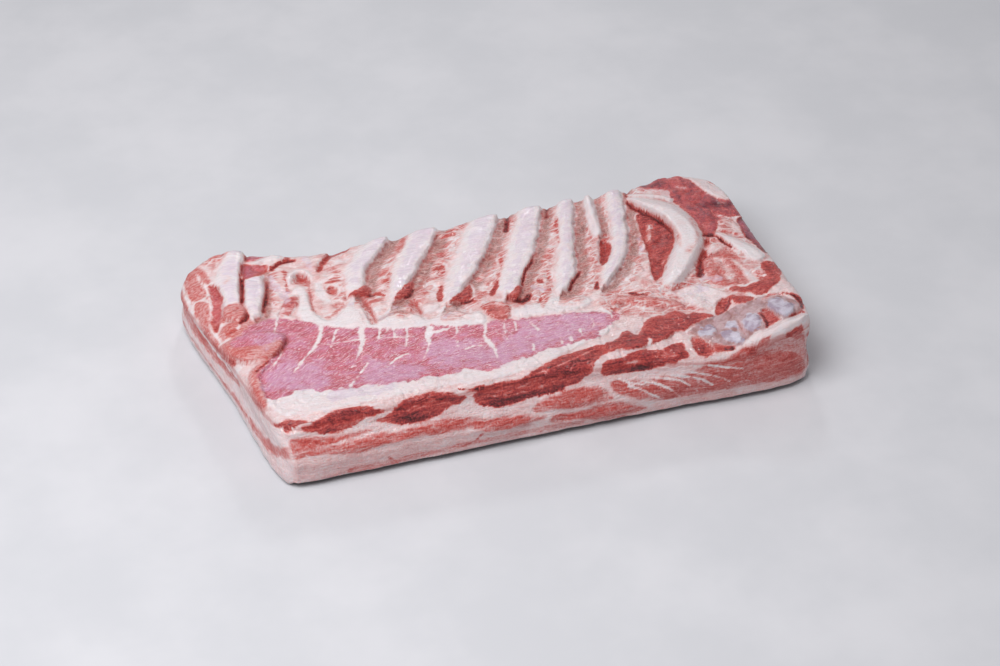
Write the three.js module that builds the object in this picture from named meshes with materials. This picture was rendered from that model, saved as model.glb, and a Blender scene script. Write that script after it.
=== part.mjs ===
// A raw pork belly slab, lying skin side down with its rib side up. All sizes are in millimetres.
// +X runs along the slab from its flank end to its shoulder end, +Y from the trimmed front side to the
// side that was cut from the loin, and +Z up. The origin is under the middle of the slab, on its skin.
//
// The slab is one piece of meat, so it is one solid: a flat skin, four cut sides that lean and bulge with
// their layers of fat and lean, and a rib side with raised strips between the channels of the pulled ribs.

import * as THREE from "three";

// ---- Driving dimensions -------------------------------------------------------------------------------

const TOP = 50; // usual height of the rib side over the skin
const SKIN_ROUND = 3; // how far the skin's edge tucks in where it meets the surface below
const EDGE_ROUND = 9; // width of the rounding between a cut side and the rib side
const EDGE_DROP = 6.5; // how far that rounding falls
const RIB_LEAN = 76; // how far the strips between the ribs lean to the shoulder as they cross the slab

// The outline is worked out from a corner of the front side; this is the middle of its bounding box.
const MIDDLE = { x: -13.6, y: 118.3 };

// How finely each stretch of the surface is divided: along, across, and up the sides.
const COLUMNS = 98;
const ROWS = 42;
const LEVELS = [0, 0.05, 0.2, 0.4, 0.6, 0.8]; // as parts of the side's height
const NEAR_EDGE = [0, 2.5, 6.5]; // closer lines beside each edge of the rib side

// The four edges of the slab seen from above, as knots [where along, how far out], corner to corner.
const FRONT_Y = [[-200, 0], [-185, -1.5], [90, -2], [145, -4], [185, -3], [199, 0]];
const SHOULDER_X = [
  [0, 199], [4, 204], [12, 208], [25, 211], [39, 213], [60, 214], [185, 214], [200, 213], [210, 211], [217, 206],
  [221, 200],
];
const LOIN_Y = [
  [-218, 237], [-206, 240], [-193, 241], [-180, 237], [-165, 232], [-150, 227], [-126, 222], [-74, 223],
  [0, 222], [60, 224], [130, 226], [150, 229], [166, 232], [185, 230], [200, 221],
];
const FLANK_X = [
  [0, -200], [5, -206], [17, -211], [50, -217], [77, -220], [104, -224], [135, -230], [170, -237], [195, -241],
  [212, -241], [225, -237], [233, -229], [237, -218],
];

// Height of the rib side: one row of knots [x, z] for each of the three stations across the slab.
const STATIONS = [
  { y: 12, heights: [[-214, 50], [-100, 53], [40, 53], [112, 48], [148, 49], [172, 55], [207, 56]] },
  { y: 110, heights: [[-236, 45], [-190, 50], [0, 50], [150, 50], [212, 49]] },
  { y: 226, heights: [[-240, 38], [-205, 48], [-140, 45], [0, 49], [130, 50], [185, 50], [212, 46]] },
];

// How far the top of the front side leans back from the foot of it, as knots [x, lean].
const FRONT_LEAN = [[-214, 15], [-100, 14], [60, 11], [112, 2], [150, 1], [207, 4]];
const LEAN_FROM = 18; // height at which the front side starts to lean
const LEAN_REACH = 0.3; // part of the way across over which the rib side takes up the lean
const RIB_START = 0.15; // part of the way across where the strips start to bend

// ---- What stands up from the rib side -----------------------------------------------------------------

// The strips between the pulled ribs, flank to shoulder. Each runs from its front end to the loin side
// through points [x, y, half width], and has the channel of a rib along its shoulder side.
const STRIP_RISE = 3.5;
const STRIP_EDGE = [-3, 4]; // where a strip's side starts and ends, from its half width out
const CHANNEL_DEPTH = 6.5;
const CHANNEL_EDGE = 4; // how far a channel reaches past its width on each side
const STRIPS = [
  { path: [[-208, 167, 7], [-206, 192, 10], [-201, 210, 10], [-188, 238, 8]], channel: 2 },
  { path: [[-194, 148, 5], [-192, 165, 8.5], [-188, 178, 8.5], [-186, 194, 8]], channel: 8 },
  { path: [[-142, 125, 8], [-153, 134, 9], [-156, 166, 5], [-146, 190, 5], [-126, 214, 7]], channel: 9 },
  { path: [[-113, 157, 7], [-107, 177, 7.5], [-90, 199, 8], [-69, 223, 6.5]], channel: 14 },
  { path: [[-89, 132, 2], [-83, 144, 6], [-77, 156, 9.5], [-51, 196, 10.5], [-37, 223, 11]], channel: 16 },
  { path: [[-51, 115, 2], [-37, 136, 8], [-11, 176, 11], [2, 196, 11.5], [13, 223, 11]], channel: 15 },
  { path: [[-1, 120, 8], [19, 154, 10.5], [33, 183, 10.5], [51, 223, 9]], channel: 13 },
  { path: [[39, 108, 5], [50, 128, 8.5], [57, 152, 6.5], [75, 202, 6.5], [80, 223, 7.5]], channel: 14 },
  { path: [[89, 166, 3], [92, 182, 3.5], [99, 224, 4]], channel: 8 },
  { path: [[72, 103, 3], [86, 121, 6.5], [99, 143, 7.5], [115, 196, 6.5], [121, 224, 6.5]], channel: 12 },
];

// Single ropes, lobes and folds that stand over their surroundings.
const ROPES = [
  // The last rib's cap, and the strip of fat between it and the shoulder end.
  { rise: 9, path: [[129, 196, 4], [145, 182, 9], [155, 160, 10], [156, 136, 10], [146, 112, 9], [125, 87, 7]] },
  { rise: 5, path: [[181, 136, 2], [190, 121, 5], [198, 96, 6]] },
  // The folded flank muscle and its curled lobe.
  { rise: 4, path: [[-214, 36, 5], [-215, 62, 6], [-211, 84, 6], [-192, 100, 6], [-184, 116, 5]] },
  { rise: 4, path: [[-214, 156, 6], [-205, 156, 8]] },
  // Small muscles and torn fat at the front ends of the strips.
  { rise: 4, path: [[74, 81, 5], [96, 70, 8], [117, 59, 6]] },
  { rise: 4, path: [[-18, 95, 9], [-12, 87, 8]] },
  { rise: 4, path: [[24, 88, 10], [46, 87, 9]] },
  // The red muscle along the front, and the fascia, cartilages and lip of fat past its end.
  { rise: 5, path: [[8, 22, 8], [38, 27, 9], [73, 30, 10], [128, 39, 8]] },
  { rise: 5, path: [[119, 71, 7], [139, 59, 9], [155, 57, 6]] },
  { rise: 5, path: [[125, 20, 8], [143, 20, 8]] },
  { rise: 6, path: [[155, 25, 8], [163, 21, 8]] },
  { rise: 6, path: [[185, 39, 8], [191, 27, 9]] },
  { rise: 5, path: [[167, 5, 4], [185, 8, 5], [200, 12, 4]] },
  // Red muscle tips at the ends of four strips.
  { rise: 4, path: [[-114, 147, 5], [-107, 151, 4]] },
  { rise: 5, path: [[-86, 133, 4], [-76, 142, 6]] },
  { rise: 5, path: [[-46, 116, 4], [-35, 123, 6]] },
  { rise: 4, path: [[0, 108, 5], [6, 112, 5]] },
];

// Hollows, as ropes that sink in.
const HOLLOWS = [
  // The bed on both sides of the last rib's cap.
  { sink: 8, path: [[139, 182, 6], [137, 160, 11], [126, 124, 7]] },
  { sink: 7, path: [[164, 120, 5], [156, 104, 5], [149, 91, 4]] },
  // Where the ribs broke from their cartilage.
  { sink: 9, path: [[-107, 150, 5], [-108, 129, 4]] },
  { sink: 9, path: [[-70, 142, 5], [-73, 123, 4]] },
  { sink: 10, path: [[-28, 125, 5], [-38, 109, 6]] },
  { sink: 7, path: [[11, 113, 5], [6, 107, 6]] },
  { sink: 6, path: [[61, 115, 6], [67, 108, 5]] },
  { sink: 7, path: [[-149, 163, 4], [-150, 145, 4]] },
  // Gaps among the cut cartilages.
  { sink: 5, path: [[177, 33, 4], [184, 25, 6]] },
  { sink: 6, path: [[113, 21, 4], [121, 9, 6], [137, 7, 5]] },
];

// A rope's side starts and ends at these parts of its half width, and a little further out.
const BACK_EDGE = [0.2, 1.2, 1.5];

// Lean that bulges from the front side, as rows of [middle x, middle z, half length, half height].
const LENSES = [
  [-203, 49, 14, 5], [-164, 48, 31, 8], [-105, 46, 35, 9], [-18, 46, 45, 11], [66, 50, 36, 7],
  [-130, 29, 70, 6], [-42, 21, 34, 6], [12, 31, 31, 9], [32, 13, 36, 6], [130, 26, 75, 16],
];
const LENS_BULGE = 1.6;
const LENS_EDGE = [0.3, 1.1]; // where a bulge starts and ends to fall off, in parts of its half length or height
const FRONT_FACING = [0.5, 0.95]; // how squarely a side faces the front as the lobes take over from the layers

// The layers of the other cut sides: how far they swell, how thick they are, and how they wander.
const LAYER_WAVE = 1.2;
const LAYER_THICK = 5.5;
const LAYER_WANDER = 0.8;
const LAYER_STRETCH = 40;

// ---- Small functions ----------------------------------------------------------------------------------

const clamp01 = (t) => Math.min(1, Math.max(0, t));
const smooth = (from, to, t) => {
  const s = clamp01((t - from) / (to - from));
  return s * s * (3 - 2 * s);
};
const mix = (a, b, t) => a + (b - a) * t;

// A smooth value through knots [t, value], level beyond both ends.
function through(knots, t) {
  if (t <= knots[0][0]) return knots[0][1];
  for (let i = 1; i < knots.length; i++) {
    const [t1, v1] = knots[i];
    if (t <= t1) {
      const [t0, v0] = knots[i - 1];
      const before = knots[i - 2] ?? knots[i - 1];
      const after = knots[i + 1] ?? knots[i];
      const span = t1 - t0;
      const m0 = ((v1 - before[1]) / (t1 - before[0])) * span;
      const m1 = ((after[1] - v0) / (after[0] - t0)) * span;
      const s = (t - t0) / span;
      return (
        (2 * s ** 3 - 3 * s ** 2 + 1) * v0 + (s ** 3 - 2 * s ** 2 + s) * m0 +
        (3 * s ** 2 - 2 * s ** 3) * v1 + (s ** 3 - s ** 2) * m1
      );
    }
  }
  return knots.at(-1)[1];
}

// Where a point lies against a path of [x, y, half width]: how far away, on which side (positive towards the
// shoulder), the half width there, and whether the point is inside rather than before the path's start.
function beside(path, x, y) {
  let best = { away: Infinity };
  for (let i = 1; i < path.length; i++) {
    const [x0, y0, w0] = path[i - 1];
    const [x1, y1, w1] = path[i];
    const dx = x1 - x0;
    const dy = y1 - y0;
    const raw = ((x - x0) * dx + (y - y0) * dy) / (dx * dx + dy * dy);
    const s = clamp01(raw);
    const away = Math.hypot(x - x0 - s * dx, y - y0 - s * dy);
    if (away < best.away) {
      const side = (x - x0) * dy - (y - y0) * dx;
      best = { away, side: side < 0 ? -away : away, width: mix(w0, w1, s), inside: raw > 0 || i > 1 };
    }
  }
  return best;
}

// A round back over a path, 1 on its middle line and 0 past its half width.
function roundBack(path, x, y) {
  const { away, width } = beside(path, x, y);
  const [start, end, more] = BACK_EDGE;
  return 1 - smooth(start * width, end * width + more, away);
}

// ---- The rib side -------------------------------------------------------------------------------------

function strips(x, y) {
  let rise = 0;
  let sink = 0;
  for (const { path, channel } of STRIPS) {
    const { away, side, width, inside } = beside(path, x, y);
    rise = Math.max(rise, 1 - smooth(width + STRIP_EDGE[0], width + STRIP_EDGE[1], away));
    const across = (side - width - channel / 2) / (channel / 2 + CHANNEL_EDGE);
    if (inside && Math.abs(across) < 1) sink = Math.max(sink, Math.cos((Math.PI / 2) * across) ** 2);
  }
  return STRIP_RISE * rise - CHANNEL_DEPTH * sink * (1 - rise);
}

function baseHeight(x, y) {
  const [front, middle, loin] = STATIONS.map(({ heights }) => through(heights, x));
  return through([[STATIONS[0].y, front], [STATIONS[1].y, middle], [STATIONS[2].y, loin]], y);
}

function ribSide(x, y) {
  let relief = strips(x, y);
  for (const { rise, path } of ROPES) relief = Math.max(relief, rise * roundBack(path, x, y));
  for (const { sink, path } of HOLLOWS) {
    const depth = roundBack(path, x, y);
    if (depth > 0) relief = mix(relief, -sink, depth);
  }
  return baseHeight(x, y) + relief;
}

// ---- The cut sides ------------------------------------------------------------------------------------

// How far the front side stands out at height z, in bulging lobes of lean.
function frontOut(x, z) {
  let bulge = 0;
  for (const [mx, mz, length, height] of LENSES) {
    const d = Math.hypot((x - mx) / length, (z - mz) / height);
    bulge = Math.max(bulge, 1 - smooth(...LENS_EDGE, d));
  }
  return LENS_BULGE * bulge;
}

// How far any other side stands out at height z, in layers that wander along it.
function layerOut(along, z) {
  return LAYER_WAVE * Math.sin(z / LAYER_THICK + LAYER_WANDER * Math.sin(along / LAYER_STRETCH));
}

// How far the front side, and the rib side behind it, lean back at height z, v of the way across.
function leanBack(x, v, z) {
  return through(FRONT_LEAN, x) * (1 - smooth(0, LEAN_REACH, v)) * smooth(LEAN_FROM, TOP, z);
}

// ---- Mesh ---------------------------------------------------------------------------------------------

// Places from 0 to 1 along a length, closer together beside both ends.
function spread(count, length) {
  const near = NEAR_EDGE.map((gap) => gap / length);
  const even = count - 2 * near.length + 2;
  const first = near.at(-1);
  const middle = Array.from({ length: even - 1 }, (_, i) => mix(first, 1 - first, (i + 1) / even));
  return [...near, ...middle, ...near.map((gap) => 1 - gap).reverse()];
}

// The plan of the slab at u along and v across: a patch between its four edges, bent to follow the ribs.
function plan(u, v) {
  const ribs = RIB_LEAN * Math.sin(Math.PI * u);
  const [[frontFlank], [frontShoulder]] = [FRONT_Y[0], FRONT_Y.at(-1)];
  const [[loinFlank, flankEnd], [loinShoulder, shoulderEnd]] = [LOIN_Y[0], LOIN_Y.at(-1)];
  const frontX = mix(frontFlank, frontShoulder, u);
  const loinX = mix(loinFlank, loinShoulder, u) + ribs;
  const flankY = mix(0, flankEnd, v);
  const shoulderY = mix(0, shoulderEnd, v);
  const blend = (frontLoin, flankShoulder, corners) => frontLoin + flankShoulder - corners;
  const x = blend(
    mix(frontX, loinX, v),
    mix(through(FLANK_X, flankY), through(SHOULDER_X, shoulderY), u),
    mix(mix(frontFlank, frontShoulder, u), mix(loinFlank, loinShoulder, u), v),
  );
  const y = blend(
    mix(through(FRONT_Y, frontX), through(LOIN_Y, loinX), v),
    mix(flankY, shoulderY, u),
    mix(0, mix(flankEnd, shoulderEnd, u), v),
  );
  return [x + ribs * (smooth(RIB_START, 1, v) - v), y];
}

// Grid places round the edge of the rib side, anticlockwise from the front flank corner.
function edgePlaces() {
  const places = [];
  for (let i = 0; i < COLUMNS; i++) places.push([i, 0]);
  for (let j = 0; j < ROWS; j++) places.push([COLUMNS, j]);
  for (let i = COLUMNS; i > 0; i--) places.push([i, ROWS]);
  for (let j = ROWS; j > 0; j--) places.push([0, j]);
  return places;
}

function buildSlab() {
  const positions = [];
  const faces = [];
  const vertex = (x, y, z) => positions.push(x - MIDDLE.x, y - MIDDLE.y, z) / 3 - 1;
  const height = (n) => positions[3 * n + 2];
  // A quad is split along its more level diagonal, so that slopes and edges stay smooth.
  const quad = (a, b, c, d) => {
    const acrossAC = Math.abs(height(a) - height(c)) <= Math.abs(height(b) - height(d));
    faces.push(...(acrossAC ? [a, b, c, a, c, d] : [a, b, d, b, c, d]));
  };

  const [[, flankEnd], [frontShoulder]] = [LOIN_Y[0], FRONT_Y.at(-1)];
  const length = frontShoulder - FRONT_Y[0][0];
  const alongs = spread(COLUMNS, length);
  const acrosses = spread(ROWS, flankEnd);

  // The rib side, rounded off towards its edge.
  const top = acrosses.map((v) =>
    alongs.map((u) => {
      const [x, y0] = plan(u, v);
      const y = y0 + leanBack(x, v, TOP);
      const nearEnd = 1 - clamp01((Math.min(u, 1 - u) * length) / EDGE_ROUND);
      const nearSide = 1 - clamp01((Math.min(v, 1 - v) * flankEnd) / EDGE_ROUND);
      const fall = Math.min(1, Math.hypot(nearEnd, nearSide));
      return vertex(x, y, ribSide(x, y) - EDGE_DROP * (1 - Math.sqrt(1 - fall * fall)));
    }),
  );
  for (let j = 0; j < ROWS; j++) {
    for (let i = 0; i < COLUMNS; i++) quad(top[j][i], top[j][i + 1], top[j + 1][i + 1], top[j + 1][i]);
  }

  // The sides, as rings of vertices from the skin up to the edge of the rib side.
  const places = edgePlaces();
  const outline = places.map(([i, j]) => plan(alongs[i], acrosses[j]));
  const rim = places.map(([i, j]) => top[j][i]);
  const around = (k) => (k + outline.length) % outline.length;
  const rings = LEVELS.map((level) =>
    outline.map(([x, y], k) => {
      const [ax, ay] = outline[around(k - 1)];
      const [bx, by] = outline[around(k + 1)];
      const [nx, ny] = [by - ay, ax - bx].map((n) => n / Math.hypot(bx - ax, by - ay));
      const z = level * height(rim[k]);
      const bulge = mix(layerOut(x + y, z), frontOut(x, z), smooth(...FRONT_FACING, -ny));
      const out = bulge - SKIN_ROUND * (1 - Math.sqrt(clamp01(z / SKIN_ROUND)));
      const lean = leanBack(x, acrosses[places[k][1]], z);
      return vertex(x + nx * out, y + ny * out + lean, z);
    }),
  );
  rings.push(rim);
  for (let level = 0; level < LEVELS.length; level++) {
    const [low, high] = [rings[level], rings[level + 1]];
    for (let k = 0; k < low.length; k++) quad(low[k], low[around(k + 1)], high[around(k + 1)], high[k]);
  }

  // The flat skin.
  const heart = vertex(MIDDLE.x, MIDDLE.y, 0);
  rings[0].forEach((n, k) => faces.push(heart, rings[0][around(k + 1)], n));

  const geometry = new THREE.BufferGeometry();
  geometry.setAttribute("position", new THREE.Float32BufferAttribute(positions, 3));
  geometry.setIndex(faces);
  geometry.computeVertexNormals();
  return geometry;
}

const meat = new THREE.MeshStandardMaterial({ color: 0xc98784, roughness: 0.45, metalness: 0 });
const slab = new THREE.Mesh(buildSlab(), meat);
slab.name = "belly_slab";

const group = new THREE.Group();
group.add(slab);

export default group;
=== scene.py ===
"""The looks of the raw pork belly slab: one dense painted mesh, with a floor, lights and a camera."""

import math
from types import SimpleNamespace

import bpy
import numpy as np
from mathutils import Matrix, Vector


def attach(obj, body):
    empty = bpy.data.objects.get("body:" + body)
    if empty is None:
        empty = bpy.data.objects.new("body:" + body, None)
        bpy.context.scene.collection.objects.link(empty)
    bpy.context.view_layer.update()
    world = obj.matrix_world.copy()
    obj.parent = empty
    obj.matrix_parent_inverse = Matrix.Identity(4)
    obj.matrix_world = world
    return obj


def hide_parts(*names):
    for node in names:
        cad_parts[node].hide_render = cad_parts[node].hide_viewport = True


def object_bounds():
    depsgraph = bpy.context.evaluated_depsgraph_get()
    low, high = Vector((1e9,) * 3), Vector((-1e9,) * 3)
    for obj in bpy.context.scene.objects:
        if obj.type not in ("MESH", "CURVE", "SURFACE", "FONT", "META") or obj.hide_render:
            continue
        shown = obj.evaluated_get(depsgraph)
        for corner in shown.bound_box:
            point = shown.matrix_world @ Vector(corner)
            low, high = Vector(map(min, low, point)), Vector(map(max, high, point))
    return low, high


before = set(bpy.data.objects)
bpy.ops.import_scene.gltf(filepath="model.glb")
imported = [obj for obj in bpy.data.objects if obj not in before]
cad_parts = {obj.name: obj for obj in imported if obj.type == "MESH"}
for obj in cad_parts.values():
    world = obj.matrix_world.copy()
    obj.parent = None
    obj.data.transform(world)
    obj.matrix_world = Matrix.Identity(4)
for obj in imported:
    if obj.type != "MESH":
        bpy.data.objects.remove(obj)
cad_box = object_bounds()

# Sizes are in millimetres, with x along the slab to the shoulder, y across it from the front side and z up
# from the skin. build_slab turns them into metres about the part's origin, which lies at MIDDLE.
MM = 1000
MIDDLE = (-13.6, 118.3)

# Cells of the mesh along the slab and across it, and up its sides, where they crowd towards the skin.
COLUMNS = 460
ROWS = 264
LEVELS = 46
LEVELS_CROWD = 1.15

# ---- Plan and heights of the slab, as in the CAD part ----

TOP = 50  # the level plane that places on the rib side are given on
SKIN_ROUND = 3  # how far, and how high up, the lower edge of the sides is rounded
UNDERCUT = 8  # how far that edge is cut under along the front side
STEP_HEIGHTS = (5, 3.5)  # where the front side also steps in, by this share of what its undercut adds
STEP_SHARE = 0.5
EDGE_ROUND = 9  # how far in from its edge the rib side starts to fall
EDGE_DROP = 6.5
RIB_LEAN = 76  # how far the plan bends to follow the ribs, and where across the slab that starts
RIBS_START = 0.15
BOX_GAP = 0.3  # what the rib side stays under the CAD box

# The edges of the plan: y by x along the front and the loin side, x by y at the shoulder and flank ends.
FRONT_Y = [(-200, 0), (-185, -1.5), (90, -2), (145, -4), (185, -3), (199, 0)]
SHOULDER_X = [
    (0, 199), (4, 204), (12, 208), (25, 211), (39, 213), (60, 214), (185, 214), (200, 213), (210, 211),
    (217, 206), (221, 200),
]
LOIN_Y = [
    (-218, 237), (-206, 240), (-193, 241), (-180, 237), (-165, 232), (-150, 227), (-126, 222), (-74, 223),
    (0, 222), (60, 224), (130, 226), (150, 229), (166, 232), (185, 230), (200, 221),
]
FLANK_X = [
    (0, -200), (5, -206), (17, -211), (50, -217), (77, -220), (104, -224), (135, -230), (170, -237),
    (195, -241), (212, -241), (225, -237), (233, -229), (237, -218),
]
# The height of the rib side along three lengthwise lines: (y, its heights by x).
STATIONS = [
    (12, [(-214, 50), (-100, 53), (40, 53), (112, 48), (148, 49), (172, 55), (207, 56)]),
    (110, [(-236, 45), (-190, 50), (0, 50), (150, 50), (212, 49)]),
    (226, [(-240, 38), (-205, 48), (-140, 45), (0, 49), (130, 50), (185, 50), (212, 46)]),
]
# How far the top of the front side leans back, by x, and the lens-shaped muscles that swell on it, as
# (x, z, half length, half height).
FRONT_LEAN = [(-214, 15), (-100, 14), (60, 11), (112, 2), (150, 1), (207, 4)]
LENSES = [
    (-203, 49, 14, 5), (-164, 48, 31, 8), (-105, 46, 35, 9), (-18, 46, 45, 11), (66, 50, 36, 7),
    (-130, 29, 70, 6), (-42, 21, 34, 6), (12, 31, 31, 9), (32, 13, 36, 6), (130, 26, 75, 16),
]
LENS_BULGE = 1.6
# The ripple of the layers on the other sides: its height, and millimetres a radian up and along the side.
LAYER_WAVE = 1.2
LAYER_PITCH = 5.5
LAYER_SWAY = 40

LENGTH = FRONT_Y[-1][0] - FRONT_Y[0][0]
WIDTH = LOIN_Y[0][1]

# ---- Where things lie ----

# The camera. Places on the rib side are given where the line of sight from it crosses the level plane at
# TOP, and places on the front side where it crosses the upright plane y = 0.
EYE = (-450.1, -1273.1, 1151.75)
LOOK_DOWN = 38  # degrees
LOOK_ASIDE = 17.64  # degrees
FOCAL_LENGTH = 85

# How lean each tissue is, from clean fat to dark meat, and how softly it meets the next, in millimetres.
# The darkest tissue is also laid as painted shadow under raised edges, flaps and lumps.
LEAN = {
    "white": -1.05, "cream": -0.8, "fat": -0.6, "blush": -0.4, "gristle": -0.3, "pink": 0.1, "bed": 0.3,
    "flesh": 0.35, "salmon": 0.38, "rose": 0.6, "red": 1.0, "dark_and_shadow": 1.6,
}
SOFT = {
    "white": 1.1, "cream": 2.5, "blush": 4.0, "gristle": 0.6, "pink": 3.0, "bed": 2.0, "flesh": 1.3,
    "salmon": 1.2, "rose": 1.1, "red": 0.8, "dark_and_shadow": 1.1,
}
TORN = ("blush", "pink", "bed", "rose")  # tissues with a net of strands, and strong marbling
DEEPENING = ("flesh", "rose", "red", "dark_and_shadow")
DEEPER = 0.2  # how much leaner a patch of these gets towards its middle

# The strips of fat between the pulled ribs, as (x, y, half width) from the front end to the loin side, and
# the width of the rib's channel along the shoulder side.
STRIPS = [
    ([(-208, 168, 7), (-207, 185, 8), (-205, 200, 10.5), (-199, 217, 10), (-189, 238, 8)], 2),
    ([(-195, 150, 6), (-192, 168, 8.5), (-188, 180, 8.5), (-186, 196, 8)], 8),
    ([(-113, 158, 7), (-109, 172, 8), (-107, 180, 7.5), (-98, 194, 7.5), (-80, 213, 7.5),
      (-70, 226, 6)], 14),
    ([(-88, 136, 2), (-82, 148, 6), (-76, 160, 9), (-64, 180, 10), (-50, 200, 10.5), (-36, 226, 11)], 16),
    ([(-50, 119, 2), (-45, 127, 5), (-36, 140, 8), (-24, 160, 10), (-10, 180, 11), (15, 226, 11)], 15),
    ([(1, 123, 9), (8, 137, 9), (21, 158, 10.5), (35, 187, 10.5), (45, 208, 9.5), (53, 226, 9)], 13),
    ([(41, 111, 5), (47, 122, 7), (52, 133, 8.5), (59, 157, 6.5), (68, 180, 6), (82, 226, 7.5)], 14),
    ([(91, 170, 3), (94, 188, 3.5), (100, 226, 4)], 9),
    ([(74, 106, 3), (80, 115, 5), (95, 135, 6.5), (106, 158, 7), (114, 185, 6.5), (123, 226, 6.5)], 12),
]
STRIP_RISE = 3.5
STRIP_CROWN = 0.6  # the rise of a strip's edges, as a share of its middle's
CHANNEL_DEPTH = 6.5
CHANNEL_MIDDLE = 0.35  # where a channel is deepest, as a share of its width
CHANNEL_BANK = 3  # what its slopes add to half its width
MUSCLE_RISE = 0.4  # how far the big muscle stands up
SUNK_SHARE = 0.35  # how much of a channel shows in what lies over it

# What lies on the rib side, in the order it is laid: (tissue, how far it stands up, shape). A shape is an
# outline of (x, y) or a line of (x, y, half width).
UNDER_STRIPS = [
    # The flayed rib bed, whitish towards the loin side of each slope.
    ("blush", 0, [(-184, 146), (-176, 200), (-160, 212), (-150, 236), (-60, 236), (140, 236), (150, 212),
     (172, 176), (172, 130), (160, 108), (152, 84), (116, 80), (62, 100), (0, 100), (-50, 100), (-100, 112),
     (-136, 120), (-168, 140)]),
    ("white", 1.5, [(-158, 153), (-152, 150), (-151, 138), (-147, 128), (-143, 125), (-138, 126),
     (-130, 133), (-125, 139), (-121, 145), (-116, 150), (-113, 145), (-114, 135), (-114, 126), (-113, 118),
     (-113, 111), (-110, 110), (-105, 115), (-100, 120), (-95, 126), (-91, 129), (-85, 130), (-78, 130),
     (-77, 122), (-80, 114), (-76, 111), (-73, 106), (-71, 102), (-66, 104), (-60, 108), (-55, 113),
     (-51, 117), (-47, 118), (-45, 114), (-45, 108), (-43, 104), (-36, 101), (-30, 101), (-27, 97),
     (-27, 91), (-31, 84), (-40, 85), (-61, 90), (-74, 94), (-100, 99), (-107, 104), (-123, 105),
     (-146, 118), (-165, 125)]),
    ("cream", 1, [(-108, 130), (-102, 133), (-98, 128), (-103, 122), (-108, 123)]),
    ("cream", 1, [(-71, 122), (-64, 123), (-54, 120), (-60, 113), (-68, 109), (-71, 112)]),
    ("blush", -1, [(-121, 138, 0.6), (-116, 128, 1), (-117, 116, 0.6)]),
    ("blush", -1, [(-96, 127, 0.6), (-88, 120, 1), (-84, 110, 0.6)]),
    ("blush", -1, [(-64, 104, 0.6), (-52, 108, 1), (-46, 100, 0.8), (-38, 92, 0.5)]),
    ("flesh", 0, [(-142, 129, 1.2), (-134, 134, 1.4), (-127, 142, 1.5), (-123, 152, 1.5)]),
    ("white", 1, [(-8, 96), (4, 99), (20, 98), (32, 101), (46, 99), (58, 92), (56, 84), (40, 81), (20, 83),
     (4, 84), (-6, 86)]),
    ("pink", 0, [(-126, 196, 4), (-121, 178, 5), (-124, 158, 5), (-133, 142, 4)]),
    ("flesh", 0, [(112, 224, 5), (108, 208, 4), (104, 190, 3.5), (100, 175, 3), (98, 165, 2)]),
    ("flesh", 0, [(36, 217, 2), (30, 205, 2.5), (20, 183, 2.5), (8, 160, 2.2), (-5, 135, 2), (-12, 122, 2)]),
    ("flesh", 0, [(72, 220, 1.5), (65, 196, 1.5), (60, 178, 1.5), (54, 160, 1)]),
    ("flesh", 0, [(-62, 216, 2), (-58, 204, 3), (-68, 192, 2), (-82, 178, 2), (-88, 160, 2), (-94, 148, 3)]),
    ("salmon", 0, [(-247, 212), (-234, 226), (-220, 222), (-217, 200), (-221, 180), (-221, 160), (-227, 130),
     (-225, 100), (-240, 88), (-250, 150)]),
    ("salmon", 0, [(-240, 94), (-180, 92), (-176, 118), (-184, 140), (-222, 158), (-240, 150)]),
    # Torn pink fat between the cap and the shoulder end.
    ("pink", 0, [(150, 122), (172, 150), (174, 208), (212, 210), (212, 60), (150, 46), (60, 62), (60, 90),
     (120, 92)]),
    # The band of clean fat along the silverskin's lower edge.
    ("white", 0.8, [(-214, 50), (-206, 28), (-190, 22), (-150, 22), (-90, 24), (-60, 20), (-38, 20),
     (-10, 24), (10, 30), (36, 40), (52, 43), (64, 54), (62, 62), (46, 54), (10, 50), (-90, 44), (-150, 50),
     (-190, 56)]),
]
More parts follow.
